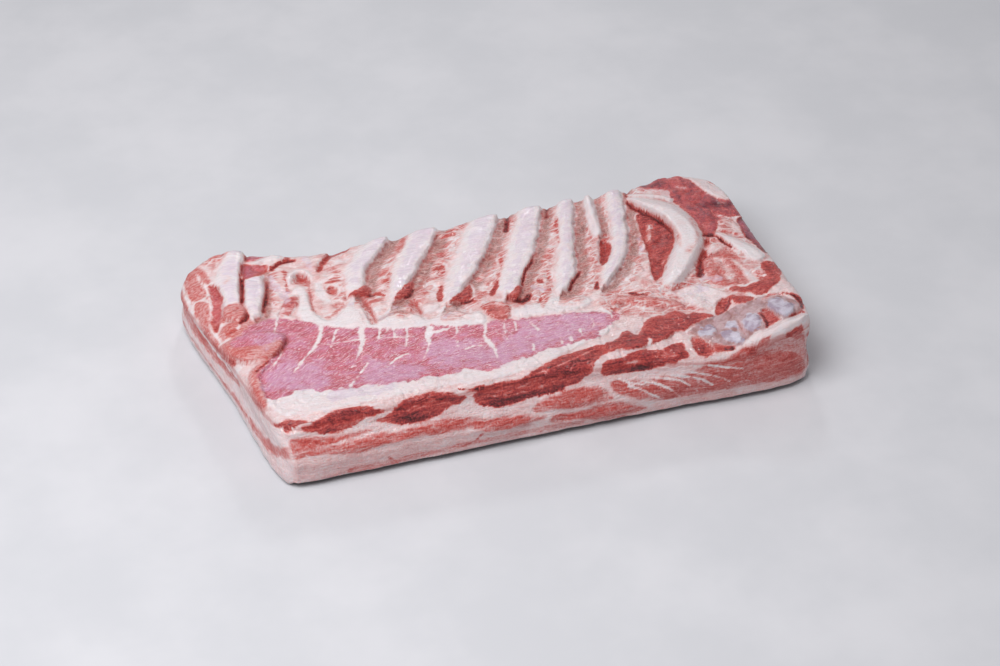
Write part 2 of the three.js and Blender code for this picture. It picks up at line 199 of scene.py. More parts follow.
OVER_STRIPS = [
    # The flank edge and its folded muscle.
    ("salmon", 0, [(-239, 182), (-240, 208), (-234, 219), (-228, 218), (-228, 206), (-224, 192), (-225, 183),
     (-236, 179)]),
    ("salmon", 0, [(-239, 175), (-227, 179), (-225, 166), (-229, 140), (-229, 128), (-228, 112), (-231, 92),
     (-236, 84), (-238, 130)]),
    ("white", 0, [(-223, 199, 0.5), (-223, 180, 0.9), (-226, 159, 0.6), (-230, 140, 0.8), (-229, 130, 0.5)]),
    ("white", 0, [(-241, 216, 1), (-240, 190, 1.2), (-240, 165, 1.4), (-239, 143, 1.2), (-237, 112, 1.4),
     (-234, 78, 1.2), (-233, 54, 1)]),
    ("pink", 0, [(-224, 228), (-212, 236), (-199, 240), (-196, 236), (-205, 224), (-213, 214), (-215, 221)]),
    ("red", -1.5, [(-221, 197), (-216, 196), (-213, 188), (-213, 176), (-216, 165), (-219, 155), (-223, 144),
     (-228, 133), (-230, 146), (-227, 156), (-224, 166), (-222, 182)]),
    ("white", 0, [(-216, 169, 0.6), (-218, 158, 0.9), (-217, 149, 0.7)]),
    ("salmon", 3.5, [(-217, 165), (-210, 169), (-202, 167), (-199, 160), (-200, 151), (-205, 144),
     (-214, 147), (-219, 152)]),
    ("dark_and_shadow", -3, [(-208, 142, 0.5), (-203, 145, 1.8), (-200, 151, 1.5), (-200, 158, 0.5)]),
    ("salmon", 1, [(-226, 131), (-216, 133), (-209, 141), (-214, 145), (-222, 142)]),
    ("red", 0, [(-221, 131, 1.5), (-214, 135, 2)]),
    ("pink", 0, [(-206, 205, 0.6), (-202, 202, 1.6), (-208, 196, 1)]),
    # Painted shadow: a dark line along a strip's shoulder-side foot, over a groove.
    ("dark_and_shadow", -4, [(-193, 208, 0.8), (-195, 194, 1.3), (-197, 182, 1.6), (-199, 175, 1.1), (-201, 167, 1.3)]),
    ("red", -1, [(-193, 214), (-187, 217), (-177, 210), (-171, 212), (-171, 204), (-175, 198), (-186, 198),
     (-193, 195)]),
    ("red", -1, [(-188, 217), (-187, 226), (-180, 231), (-173, 234), (-175, 227), (-166, 221), (-176, 217)]),
    ("white", 1.5, [(-183, 214, 0.8), (-174, 216, 2.4), (-164, 217, 5), (-158, 224, 4)]),
    ("dark_and_shadow", -4, [(-169, 203, 1.6), (-163, 208, 2), (-156, 209, 2.4), (-150, 208, 1.4)]),
    ("red", 0, [(-151, 224, 1.6), (-153, 216, 2.4), (-156, 211, 1.6)]),
    # Painted shadow: a dark line along a strip's shoulder-side foot, over a groove.
    ("dark_and_shadow", -2, [(-176, 188, 0.6), (-179, 176, 1.4), (-183, 164, 1.5), (-187, 154, 1.6), (-188, 150, 0.6)]),
    ("rose", 0, [(-160, 196, 1.6), (-162, 184, 2), (-164, 170, 1.6)]),
    ("rose", 2, [(-180, 141), (-172, 154), (-167, 163), (-159, 165), (-157, 157), (-164, 147), (-169, 140)]),
    ("white", 2, [(-166, 136), (-160, 150), (-156, 164), (-161, 167), (-159, 174), (-151, 175), (-150, 164),
     (-151, 150), (-149, 134)]),
    ("rose", -4, [(-158, 179), (-155, 187), (-150, 190), (-145, 185), (-144, 177), (-147, 172),
     (-153, 176)]),
    ("flesh", -2.5, [(-147, 184, 0.8), (-145, 177, 1.1), (-147, 171, 0.8), (-148, 162, 0.8), (-150, 150, 1),
     (-151, 142, 1.4), (-149, 138, 0.5)]),
    ("white", 2, [(-161, 180, 1.4), (-158, 190, 2.4), (-151, 195, 2.6), (-144, 192, 2), (-142, 183, 1.4)]),
    ("red", -4, [(-134, 190, 2), (-130, 197, 2.6), (-124, 204, 3), (-116, 209, 4), (-108, 211, 4)]),
    ("white", 0, [(-139, 172, 2), (-141, 160, 3.4), (-138, 150, 3)]),
    ("rose", 0, [(-137, 173), (-128, 178), (-121, 182), (-120, 172), (-126, 169)]),
    ("rose", -1.5, [(-135, 163), (-131, 168), (-126, 165), (-127, 157), (-131, 153), (-135, 158)]),
    # Folded flank muscle in the near corner.
    ("dark_and_shadow", -1, [(-232, 122, 0.4), (-229, 107, 0.7), (-222, 98, 0.7), (-214, 91, 0.4)]),
    ("salmon", 4, [(-231, 115), (-229, 105), (-222, 97), (-213, 92), (-203, 91), (-195, 93), (-187, 98),
     (-181, 106), (-178, 117), (-183, 125), (-195, 130), (-210, 128), (-225, 122)]),
    ("white", 0, [(-216, 92, 1), (-223, 86, 1.4), (-227, 75, 1.4), (-227, 59, 1.6), (-225, 44, 1.2)]),
    ("flesh", 3, [(-192, 95, 2), (-200, 89, 3.5), (-207, 83, 4.5), (-213, 75, 5), (-214, 60, 5.5),
     (-214, 48, 5.5), (-215, 38, 4)]),
    # Painted shadow: the dark line under the folded muscle's curled edge, over a groove.
    ("dark_and_shadow", -3.5, [(-177, 119, 0.8), (-178, 112, 2), (-183, 103, 2), (-189, 96, 1.2), (-197, 91, 1),
     (-205, 85, 0.9), (-209, 81, 0.6)]),
    ("red", -1, [(-230, 105, 1), (-226, 101, 2.2), (-223, 95, 1.2)]),
    ("pink", 0, [(-229, 92, 1.4), (-229, 72, 1), (-227, 52, 1.2), (-222, 34, 1.6)]),
    # Torn ends of the strips, where the ribs broke from their cartilage.
    ("flesh", -4, [(-111, 146, 2.5), (-110, 134, 3), (-109, 122, 2.5), (-109, 112, 1.5)]),
    ("rose", -2, [(-113, 134, 0.8), (-112, 122, 1.2), (-112, 111, 0.9)]),
    ("red", 3, [(-121, 149), (-119, 154), (-111, 158), (-103, 160), (-101, 153), (-104, 147), (-113, 147)]),
    # Painted shadow under the raised red flap, over a groove.
    ("dark_and_shadow", -3, [(-112, 145, 0.5), (-106, 146, 1.6), (-102, 145, 1)]),
    ("rose", 0, [(-83, 168, 2), (-88, 158, 3.2), (-92, 149, 2.4)]),
    ("red", 0, [(-98, 146, 2), (-94, 143, 1.6)]),
    ("flesh", -4, [(-75, 129, 2.5), (-74, 121, 2.5), (-73, 112, 1.5)]),
    ("bed", -1, [(-105, 114, 0.4), (-94, 120, 0.8), (-88, 120, 0.7), (-80, 115, 0.4)]),
    ("red", 3.5, [(-90, 132), (-86, 139), (-79, 147), (-72, 153), (-66, 154), (-70, 145), (-74, 137),
     (-80, 133)]),
    # Painted shadow under the raised red flap, over a groove.
    ("dark_and_shadow", -3, [(-82, 133, 0.5), (-75, 136, 1.8), (-71, 142, 1)]),
    ("flesh", 0, [(-60, 212, 2.4), (-63, 203, 3.4), (-68, 196, 1.6)]),
    ("rose", 0, [(-33, 202), (-27, 206), (-19, 213), (-13, 210), (-21, 202), (-29, 199)]),
    ("rose", 0, [(-51, 165), (-45, 172), (-38, 168), (-40, 158), (-46, 153)]),
    ("rose", 0, [(-42, 182), (-36, 184), (-33, 178), (-37, 174)]),
    ("red", -1, [(-48, 141, 1), (-52, 132, 2.4), (-54, 125, 2)]),
    ("red", 3, [(-54, 117), (-46, 123), (-38, 127), (-31, 132), (-26, 138), (-28, 126), (-31, 118)]),
    # Painted shadow under the raised red flap, over a groove.
    ("dark_and_shadow", -4, [(-45, 116, 0.6), (-37, 114, 2.2), (-31, 116, 1.4)]),
    ("rose", 0, [(-18, 140, 2.6), (-13, 145, 2.2)]),
    ("red", -1, [(-4, 134, 0.8), (-9, 126, 1.8), (-14, 119, 1.4)]),
    ("rose", 1.5, [(-28, 110), (-18, 111), (-8, 108), (-5, 102), (-7, 92), (-13, 83), (-21, 86), (-25, 96)]),
    # Painted shadow in the channel on a strip's shoulder side, near its back end, over a groove.
    ("dark_and_shadow", -3, [(30, 218, 1.6), (27, 208, 2.8), (22, 196, 2)]),
    ("rose", 0, [(9, 166, 1.4), (3, 152, 2.2), (-3, 140, 2)]),
    ("red", 2.5, [(1, 112, 4.5), (6, 116, 4), (9, 122, 2)]),
    # Painted shadow round the foot of the raised red lump, over a pit.
    ("dark_and_shadow", -5, [(-3, 109, 2), (3, 105, 3.2), (9, 103, 3), (13, 109, 2)]),
    # Painted shadow under a strip's overhanging shoulder-side edge, over a groove.
    ("dark_and_shadow", -2, [(31, 156, 0.8), (28, 149, 1.7), (21, 142, 1.2), (18, 136, 0.9), (12, 124, 1.7)]),
    # Painted shadow in the channel on a strip's shoulder side, over a groove.
    ("dark_and_shadow", -2, [(65, 222, 1), (63, 214, 1.8), (59, 204, 1)]),
    ("red", -1, [(23, 124), (27, 128), (31, 123), (27, 120)]),
    ("rose", 0, [(37, 134, 2.4), (35, 124, 2.6), (31, 112, 2.4), (22, 101, 4)]),
    ("rose", 0, [(66, 201, 1.4), (61, 184, 1.4), (57, 168, 1)]),
    # Painted shadow along a strip's shoulder-side foot, over a groove.
    ("dark_and_shadow", -3, [(61, 126, 0.7), (56, 120, 1.8), (51, 116, 1.7), (47, 110, 1.7), (45, 105, 0.8)]),
    ("pink", 0, [(71, 127, 2), (68, 113, 3), (62, 102, 4)]),
    ("dark_and_shadow", -1, [(69, 108, 1.2), (66, 102, 1.4)]),
    ("white", 1, [(100, 222, 4), (97, 202, 4.5), (93, 184, 5), (90, 170, 4)]),
    ("rose", 0, [(88, 165, 1), (92, 168, 1.2), (98, 165, 1)]),
    ("red", -5, [(80, 127), (79, 133), (83, 143), (86, 153), (89, 161), (94, 158), (96, 151), (92, 141)]),
    # The last rib's cap of cartilage and its bed.
    ("red", -2, [(128, 184), (134, 187), (142, 182), (147, 166), (149, 150), (147, 138), (136, 126),
     (128, 115), (121, 102), (112, 95), (113, 108), (118, 124), (121, 140), (125, 165)]),
    ("pink", 1, [(134, 167, 2.2), (131, 159, 2.2), (127, 149, 1.2)]),
    # Painted shadow along the inner side of the cap, over a groove.
    ("dark_and_shadow", -5, [(135, 223, 1), (131, 211, 1.3), (129, 200, 1.6), (131, 193, 2), (137, 184, 2.8),
     (142, 177, 2.4), (146, 166, 1.8), (148, 152, 1.2)]),
    ("red", -5, [(171, 134, 2.2), (166, 125, 2.2), (160, 116, 2.8), (155, 106, 3.2), (149, 94, 3.2)]),
    ("dark_and_shadow", -3, [(173, 117, 1.4), (165, 115, 2), (158, 110, 1.6), (153, 101, 2), (148, 92, 1.8)]),
    # The dark muscle at the shoulder's loin corner, with its strips of fat.
    ("red", 0, [(141, 220), (150, 227), (165, 233), (182, 228), (190, 219), (193, 205), (198, 193),
     (204, 186), (214, 181), (214, 160), (203, 158), (196, 162), (189, 158), (187, 150), (181, 142),
     (173, 137), (170, 150), (171, 170), (167, 184), (163, 198), (168, 208), (160, 213)]),
    ("dark_and_shadow", 0, [(149, 223, 2), (158, 219, 3.4), (165, 222, 3)]),
    ("dark_and_shadow", -2, [(182, 186, 2), (188, 180, 4.5), (196, 180, 4), (206, 176, 3)]),
    ("dark_and_shadow", -2, [(171, 142, 1.6), (177, 140, 2.4)]),
    ("pink", 0, [(140, 219), (146, 222), (155, 216), (163, 212), (159, 207), (148, 212)]),
    ("pink", 0, [(175, 212, 1.4), (180, 209, 1.6)]),
    ("pink", 0, [(191, 166, 0.8), (194, 163, 1.4)]),
    ("cream", 1, [(189, 222), (197, 219), (204, 213), (209, 205), (212, 195), (212, 185), (206, 183),
     (199, 190), (195, 200), (192, 210)]),
    ("dark_and_shadow", -1, [(202, 217, 0.8), (208, 208, 1.9), (211, 200, 1.9), (213, 191, 0.8)]),
    ("dark_and_shadow", -1, [(203, 155), (209, 158), (215, 150), (215, 130), (213, 106), (208, 105), (206, 116),
     (203, 126), (201, 134), (204, 143)]),
    ("pink", 1, [(190, 158), (196, 161), (201, 157), (202, 147), (203, 137), (200, 130), (195, 138),
     (185, 146)]),
    ("cream", 0, [(194, 157, 1), (199, 150, 1.6), (200, 140, 1)]),
    ("rose", 0, [(184, 144, 1.6), (192, 141, 2.6), (199, 131, 1.6)]),
    ("blush", 1, [(163, 126), (171, 131), (180, 128), (180, 121), (172, 117), (165, 120)]),
    ("flesh", 0, [(157, 111), (166, 115), (180, 123), (187, 116), (187, 97), (186, 77), (178, 72), (161, 73),
     (153, 79), (154, 97)]),
    ("blush", 0, [(170, 108, 2), (173, 96, 3), (170, 85, 2.4)]),
    ("cream", 0, [(181, 104, 0.8), (184, 92, 1.4), (186, 80, 4), (188, 72, 2)]),
    ("white", 3.5, [(180, 143), (185, 142), (192, 135), (199, 125), (205, 113), (208, 104), (206, 98),
     (198, 96), (192, 101), (192, 112), (187, 122), (182, 134)]),
    ("dark_and_shadow", -2, [(181, 138, 0.7), (182, 129, 1.1), (186, 121, 0.9)]),
    # The cap itself, and the strand over its head.
    ("white", 3, [(133, 213, 1.6), (145, 210, 2.2), (157, 205, 2.6), (163, 197, 2.4)]),
    ("white", 6.5, [(132, 208, 3), (139, 201, 6), (148, 192, 9), (156, 182, 10), (160, 168, 11),
     (161, 152, 11), (157, 137, 11), (149, 126, 11), (140, 113, 10), (131, 101, 9), (124, 92, 7)]),
    ("pink", 0, [(150, 178, 0.8), (151, 162, 2), (151, 146, 1.8), (148, 134, 0.8)]),
    ("pink", 0, [(170, 166, 0.8), (169, 152, 1.8), (164, 138, 1.8), (152, 127, 2.2)]),
    ("rose", 0, [(138, 214, 0.6), (148, 212, 0.9), (158, 206, 0.7)]),
    # Red muscle and torn fat between the cap and the breast cartilages.
    ("red", 0, [(200, 95), (207, 97), (212, 88), (211, 78), (206, 70), (199, 68), (196, 76), (197, 87)]),
    ("rose", 0, [(190, 80), (195, 88), (199, 80), (197, 70), (190, 72)]),
    ("red", 1, [(162, 70), (170, 73), (176, 69), (186, 72), (196, 75), (207, 77), (209, 71), (203, 66),
     (194, 60), (186, 55), (180, 56), (176, 62), (168, 63)]),
    ("rose", 1.5, [(115, 86), (119, 91), (127, 90), (136, 86), (130, 83), (121, 82)]),
    ("dark_and_shadow", -1.5, [(121, 82, 0.6), (130, 83, 1), (135, 85, 0.8)]),
    ("rose", 0, [(131, 82), (138, 86), (145, 82), (156, 74), (148, 74), (139, 77)]),
    ("flesh", 2, [(70, 83), (80, 88), (94, 83), (108, 76), (118, 70), (124, 61), (121, 56), (111, 60),
     (97, 65), (87, 72), (79, 78), (71, 78)]),
    ("rose", 0, [(88, 79, 1.4), (104, 70, 2.4), (118, 62, 2)]),
    ("dark_and_shadow", -1, [(100, 82, 0.5), (92, 86, 0.8), (86, 89, 0.5)]),
    ("pink", 0, [(58, 84, 1.4), (70, 86, 1.4), (80, 85, 1.2)]),
    ("rose", 0, [(67, 81, 1.2), (68, 74, 1)]),
    ("rose", 0, [(15, 104, 2.4), (20, 98, 2.8), (19, 92, 1.6)]),
    ("dark_and_shadow", -2, [(-77, 92, 0.6), (-74, 94, 1.1), (-70, 96, 0.8)]),
    ("cream", 0.9, [(121, 79), (132, 82), (143, 84), (151, 76), (161, 66), (161, 60), (151, 60), (141, 49),
     (132, 56), (126, 63)]),
    # Red muscle along the front, and the dark hollow behind it.
    ("red", 2, [(48, 36), (57, 36), (63, 40), (67, 45), (71, 45), (73, 39), (76, 36), (80, 41), (84, 48),
     (90, 53), (98, 56), (104, 53), (110, 56), (117, 54), (122, 49), (132, 48), (139, 44), (140, 39),
     (133, 35), (120, 36), (112, 30), (103, 31), (98, 27), (88, 24), (80, 22), (66, 21), (56, 24),
     (48, 27)]),
    ("white", 0, [(78, 21, 0.8), (82, 25, 1.4), (83, 31, 0.7)]),
    ("red", -1, [(148, 56), (155, 62), (160, 57), (157, 49), (148, 42), (141, 39), (143, 48)]),
    ("dark_and_shadow", 0, [(143, 40, 0.6), (151, 46, 1.6), (158, 55, 1.2)]),
    ("red", 2, [(157, 61), (162, 63), (168, 60), (177, 55), (178, 51), (170, 48), (163, 49)]),
    # The cut breast cartilages, the dark meat among them and the lip of fat in front.
    ("gristle", 1, [(110, 26), (124, 38), (148, 42), (159, 48), (172, 51), (190, 54), (208, 44), (208, 20),
     (180, 16), (160, 8), (140, -2), (120, 6)]),
    ("rose", -1.5, [(112, 23), (118, 22), (122, 14), (125, 5), (123, -3), (111, -3), (110, 8)]),
    ("bed", 0, [(116, 27, 1), (124, 14, 1.4), (130, 4, 1.2)]),
    ("gristle", 2, [(119, 28), (127, 34), (136, 30), (136, 21), (127, 16), (120, 20)]),
    ("gristle", 1.5, [(136, 23), (148, 33), (155, 31), (156, 21), (149, 21), (141, 24)]),
    ("gristle", 2, [(132, 18), (140, 24), (149, 21), (153, 11), (152, 4), (144, 3), (135, 10)]),
    ("gristle", 3, [(157, 30), (163, 36), (171, 36), (174, 29), (169, 17), (160, 10), (155, 15)]),
    ("bed", -1, [(155, 31, 0.5), (154, 22, 0.8), (153, 12, 0.8), (156, 6, 0.6)]),
    ("rose", -3, [(175, 38), (183, 40), (186, 30), (188, 20), (178, 13), (171, 13), (175, 24)]),
    ("dark_and_shadow", 0, [(174, 34, 0.8), (176, 26, 1.2), (173, 16, 0.8)]),
    ("gristle", 3, [(183, 47), (190, 50), (201, 46), (204, 36), (202, 27), (190, 22), (185, 31), (181, 39)]),
    ("rose", 0, [(184, 50, 1.2), (194, 54, 1.4), (203, 50, 1.2)]),
    ("dark_and_shadow", -4, [(191, 20), (198, 26), (206, 29), (209, 24), (204, 21)]),
    ("dark_and_shadow", -2, [(202, 53, 0.8), (206, 50, 1.5), (210, 45, 2), (210, 36, 2), (208, 30, 1.6)]),
    ("white", 5, [(146, -1), (150, 5), (156, 10), (164, 15), (171, 13), (177, 17), (184, 20), (192, 22),
     (199, 23), (205, 26), (210, 22), (205, 15), (198, 11), (190, 9), (184, 3), (176, -1), (160, -5)]),
]

# The big muscle under its silverskin, and the strands of fat on it.
SILVERSKIN = [
    (-209, 82), (-211, 60), (-208, 47), (-205, 42), (-190, 49), (-180, 50), (-168, 43), (-150, 42),
    (-130, 40), (-115, 35), (-90, 38), (-72, 34), (-58, 38), (-50, 31), (-42, 29), (-25, 34), (0, 40),
    (30, 42), (46, 44), (54, 54), (70, 58), (72, 66), (58, 74), (30, 80), (0, 82), (-20, 86), (-40, 86),
    (-60, 92), (-80, 98), (-100, 100), (-116, 108), (-126, 110), (-136, 113), (-148, 121), (-165, 133),
    (-180, 140), (-190, 141), (-200, 136), (-212, 128), (-222, 120), (-219, 113), (-208, 114), (-192, 110),
    (-182, 114), (-179, 108), (-187, 97), (-198, 90),
]
VEINS = [
    [(-179, 141, 1), (-182, 132, 0.9), (-186, 122, 0.6)],
    [(-149, 122, 2), (-152, 113, 1.6), (-156, 103, 1.5), (-162, 95, 1.8), (-172, 85, 1.3), (-183, 72, 0.5)],
    [(-120, 110, 3.2), (-123, 100, 2.2), (-126, 88, 1.3), (-132, 78, 1.6), (-137, 69, 1), (-141, 64, 0.4)],
    [(-128, 66, 0.7), (-137, 55, 0.8), (-147, 44, 1)],
    [(-72, 93, 3.4), (-76, 84, 2.8), (-77, 75, 1.8), (-82, 66, 1.2), (-88, 56, 0.6)],
    [(-58, 88, 1), (-66, 87, 1.6), (-73, 88, 2.4)],
    [(-30, 92, 2.6), (-31, 80, 1.6), (-35, 72, 2.2), (-34, 62, 2.8), (-32, 52, 1.8), (-34, 42, 1.2)],
    [(-25, 76, 0.6), (-24, 68, 0.7), (-30, 58, 0.4)],
    [(49, 72, 0.7), (50, 62, 1), (44, 52, 0.8), (36, 60, 0.7), (36, 46, 0.8)], [(4, 74, 0.5), (6, 66, 0.8)],
    [(-3, 50, 0.7), (-5, 42, 0.8)], [(19, 52, 0.6), (18, 44, 0.8)], [(28, 56, 0.7), (26, 46, 1.1)],
    [(60, 76, 2), (66, 68, 1.4), (64, 60, 1)], [(-140, 112, 0.9), (-146, 100, 0.6), (-150, 92, 0.4)],
    [(-108, 104, 0.9), (-112, 92, 0.6), (-115, 82, 0.4)], [(-98, 100, 0.8), (-101, 88, 0.5)],
    [(-88, 99, 0.8), (-92, 86, 0.6), (-95, 76, 0.4)], [(-52, 88, 0.8), (-55, 76, 0.6), (-58, 66, 0.4)],
    [(-16, 82, 0.9), (-19, 70, 0.6), (-20, 62, 0.4)], [(-8, 81, 0.8), (-10, 70, 0.5)],
    [(-152, 97, 0.4), (-120, 95, 0.5), (-92, 88, 0.5), (-74, 84, 0.4)],
    [(-170, 122, 0.7), (-180, 112, 0.5), (-186, 96, 0.5), (-196, 84, 0.4)],
    [(-112, 60, 0.4), (-104, 66, 0.6), (-96, 68, 0.4)], [(-54, 60, 0.4), (-46, 62, 0.6), (-40, 60, 0.4)],
]

# Where lavender film lies: on the silverskin, and on fat and cartilage.
FILM = [
    [(-208, 62), (-199, 84), (-182, 86), (-165, 77), (-155, 65), (-162, 50), (-180, 48), (-199, 52)],
    [(-141, 56), (-127, 68), (-107, 61), (-88, 48), (-94, 38), (-120, 36), (-139, 42)],
    [(-87, 72), (-68, 80), (-52, 74), (-37, 56), (-20, 66), (-2, 74), (21, 79), (44, 78), (63, 68), (50, 52),
     (23, 47), (-1, 42), (-27, 34), (-43, 36), (-69, 42), (-87, 54)],
    [(-203, 122), (-187, 125), (-181, 117), (-192, 105), (-203, 106)],
]
LILAC = [
    [(-123, 138, 1.5), (-117, 142, 2), (-117, 134, 1)], [(-95, 125, 2), (-86, 126, 3), (-79, 123, 2)],
    [(-105, 114, 1), (-95, 119, 1.6)], [(-68, 101, 1.5), (-58, 103, 3), (-48, 105, 3)],
    [(130, 74, 3), (148, 74, 4)], [(-174, 190, 4), (-170, 176, 6), (-166, 160, 4)],
    [(-141, 216, 3), (-139, 200, 4), (-140, 190, 2)], [(20, 117, 2.4), (26, 113, 1.6)],
    [(160, 84, 5), (150, 90, 4), (142, 80, 3)], [(-160, 36, 7), (-120, 33, 5)],
    [(120, 160, 2), (118, 140, 2)],
]

# Where lean has a purplish skin, and how strong.
WINE = [
    ([(141, 220), (150, 227), (165, 233), (182, 228), (190, 219), (193, 205), (198, 193), (204, 186),
     (214, 181), (214, 160), (203, 158), (190, 160), (187, 150), (173, 137), (168, 200)], 0.2),
    ([(203, 155), (215, 150), (215, 106), (206, 116), (203, 140)], 0.5),
    ([(-180, 141), (-172, 154), (-159, 165), (-157, 157), (-169, 140)], 0.15),
    ([(-221, 197), (-213, 190), (-216, 160), (-226, 140), (-227, 156), (-222, 182)], 0.3),
    ([(-193, 214), (-177, 210), (-171, 204), (-186, 198), (-193, 195)], 0.5),
    ([(-188, 217), (-180, 231), (-166, 221), (-176, 217)], 0.5),
]

# What shows on the front side, as (tissue, shape) with (x, z) places, in the order it is laid.
FRONT = [
    ("blush", [(-230, 27), (-100, 24), (0, 12), (110, 9), (225, 8), (225, -10), (-230, -10)]),
    ("flesh", [(-209, 44), (-205, 48), (-196, 49), (-188, 47), (-175, 44), (-150, 44), (-138, 42),
     (-155, 38), (-170, 36), (-190, 34), (-203, 32), (-206, 38)]),
    ("flesh", [(-204, 31), (-190, 35), (-178, 34), (-168, 35), (-155, 37), (-140, 39), (-130, 37),
     (-120, 34), (-112, 37), (-90, 38), (-72, 37), (-62, 32), (-48, 30), (-40, 28), (-30, 28), (-18, 24),
     (-7, 21), (-12, 18), (-25, 15), (-32, 17), (-42, 15), (-55, 18), (-62, 21), (-75, 24), (-82, 26),
     (-92, 23), (-102, 26), (-118, 24), (-132, 25), (-150, 22), (-160, 23), (-170, 26), (-180, 27),
     (-190, 29), (-200, 28)]),
    ("flesh", [(-21, 29), (-15, 36), (-8, 40), (10, 42), (22, 42), (30, 41), (36, 36), (42, 29), (44, 25),
     (38, 23), (30, 24), (20, 22), (8, 23), (-5, 26), (-18, 26)]),
    ("flesh", [(-7, 17), (-3, 21), (5, 20), (20, 20), (35, 21), (45, 21), (55, 17), (65, 12), (72, 9),
     (62, 5), (48, 5), (35, 7), (22, 9), (15, 11), (3, 12), (-4, 13)]),
    ("flesh", [(40, 41), (46, 42), (58, 39), (66, 36), (72, 33), (80, 38), (95, 34), (110, 34), (120, 42),
     (130, 40), (140, 45), (150, 50), (160, 55), (175, 60), (190, 56), (201, 48), (208, 36), (208, 20),
     (204, 11), (185, 8), (165, 9), (150, 10), (135, 12), (120, 11), (100, 11), (85, 13), (72, 16), (60, 20),
     (50, 26), (46, 30), (42, 36)]),
    ("red", [(148, 40), (158, 48), (170, 52), (184, 56), (193, 61), (197, 54), (188, 50), (176, 47),
     (163, 42)]),
    ("red", [(-220, 64), (-212, 66), (-203, 67), (-190, 64), (-187, 62), (-196, 60), (-203, 56), (-213, 52),
     (-219, 55)]),
    ("red", [(-196, 55), (-188, 60), (-180, 63), (-171, 67), (-150, 67), (-142, 64), (-134, 58), (-132, 56),
     (-142, 55), (-150, 53), (-158, 48), (-168, 45.5), (-178, 47), (-187, 51)]),
    ("red", [(-142, 50), (-130, 53), (-122, 62), (-112, 65), (-100, 66), (-88, 64), (-78, 60), (-70, 54),
     (-75, 51), (-86, 47), (-95, 41), (-108, 40), (-122, 41), (-131, 45)]),
    ("red", [(-66, 55), (-60, 60), (-50, 62), (-40, 64), (-31, 61), (-22, 65), (-13, 70), (0, 76), (12, 80),
     (20, 83), (30, 85), (38, 81), (44, 79), (52, 84), (54, 76), (46, 71), (32, 67), (27, 62), (28, 54),
     (20, 50), (8, 45), (-5, 42), (-20, 41), (-32, 39), (-42, 38), (-52, 40), (-63, 46)]),
    ("red", [(33, 59), (38, 63), (48, 62), (58, 65), (66, 66), (74, 64), (81, 62), (88, 66), (92, 68),
     (97, 65), (100, 58), (104, 50), (98, 48), (88, 46), (75, 46), (60, 46), (45, 47), (33, 50)]),
    ("red", [(105, 69), (112, 67), (118, 60), (122, 52), (119, 46), (112, 50), (107, 56)]),
    ("rose", [(122, 58), (128, 57), (136, 53), (141, 53), (140, 48), (130, 47), (123, 49)]),
    ("dark_and_shadow", [(132, 51, 1.4), (138, 50, 2)]),
    ("pink", [(160, 44, 3), (178, 46, 6), (196, 38, 6), (203, 24, 4)]),
    ("rose", [(-59, 16.4, 0.8), (-66, 9, 1.2), (-76, 8.5, 0.9), (-83, 10, 0.5)]),
    ("rose", [(-119, 6, 0.7), (-125, 7, 1), (-131, 12, 0.6)]),
    ("pink", [(-160, 8, 2), (-140, 7, 2.6), (-100, 9, 2.4), (-50, 10, 2), (0, 9, 2.2), (20, 8, 1.6)]),
    ("dark_and_shadow", [(-9, 67, 0.5), (5, 69, 0.9), (15, 68, 0.9), (23, 66, 0.5)]),
    ("dark_and_shadow", [(-77, 64, 0.5), (-68, 61, 0.9), (-58, 62, 0.7)]),
    ("pink", [(-31, 54, 0.3), (-18, 57, 0.6), (-8, 59, 0.7), (1, 59, 0.3)]),
    ("flesh", [(-50, 50, 0.2), (-30, 48, 0.6), (-5, 51, 0.6), (12, 54, 0.3)]),
    ("flesh", [(-25, 62, 0.2), (0, 67, 0.6), (22, 74, 0.6), (34, 79, 0.2)]),
    ("pink", [(40, 55, 0.2), (58, 57, 0.5), (78, 57, 0.3)]),
    ("flesh", [(-122, 52, 0.2), (-108, 56, 0.5), (-92, 58, 0.2)]),
    ("white", [(-215, 62, 0.3), (-206, 60, 0.6), (-198, 58, 0.4)]),
    ("white", [(47, 43, 0.8), (60, 35, 0.7), (72, 31, 0.5)]),
    ("white", [(56, 34, 0.6), (66, 28, 0.7), (75, 20, 0.5), (84, 14, 0.3)]),
    ("white", [(66, 36, 0.6), (80, 30, 0.6), (90, 22, 0.5), (98, 13, 0.3)]),
    ("white", [(78, 36, 0.7), (92, 32, 0.6), (104, 24, 0.5), (112, 15, 0.3)]),
    ("white", [(90, 36, 0.8), (104, 31, 0.5), (116, 25, 0.4), (124, 18, 0.3)]),
    ("white", [(103, 36, 0.6), (118, 30, 0.5), (130, 24, 0.4), (138, 18, 0.2)]),
    ("white", [(120, 38, 0.4), (134, 33, 0.4), (148, 28, 0.2)]),
    ("white", [(148, 50), (152, 54), (160, 60), (170, 61), (178, 66), (186, 68), (194, 72), (198, 67),
     (196, 60), (189, 58), (180, 54), (165, 55), (155, 50)]),
]

# What shows on the flank end, with (y, z) places.
FLANK = [
    ("flesh", [(-6, 38, 5), (10, 28, 5), (22, 21, 4.5), (42, 16, 4), (64, 13, 3), (100, 11, 2),
     (150, 11, 1.6), (200, 12, 1.4), (240, 14, 1.2)]),
    ("flesh", [(88, 30), (110, 22), (150, 20), (200, 20), (232, 22), (240, 40), (225, 56), (180, 56),
     (120, 54), (92, 46)]),
    ("white", [(110, 31, 1), (150, 29, 1.6), (190, 33, 1.2)]),
]

# The layers of lean on the loin side and the shoulder end: (seed, heights, half thickness).
LOIN_LAYERS = (31, [14, 26, 38], 3.2)
SHOULDER_LAYERS = (51, [20, 33, 46], 5.2)

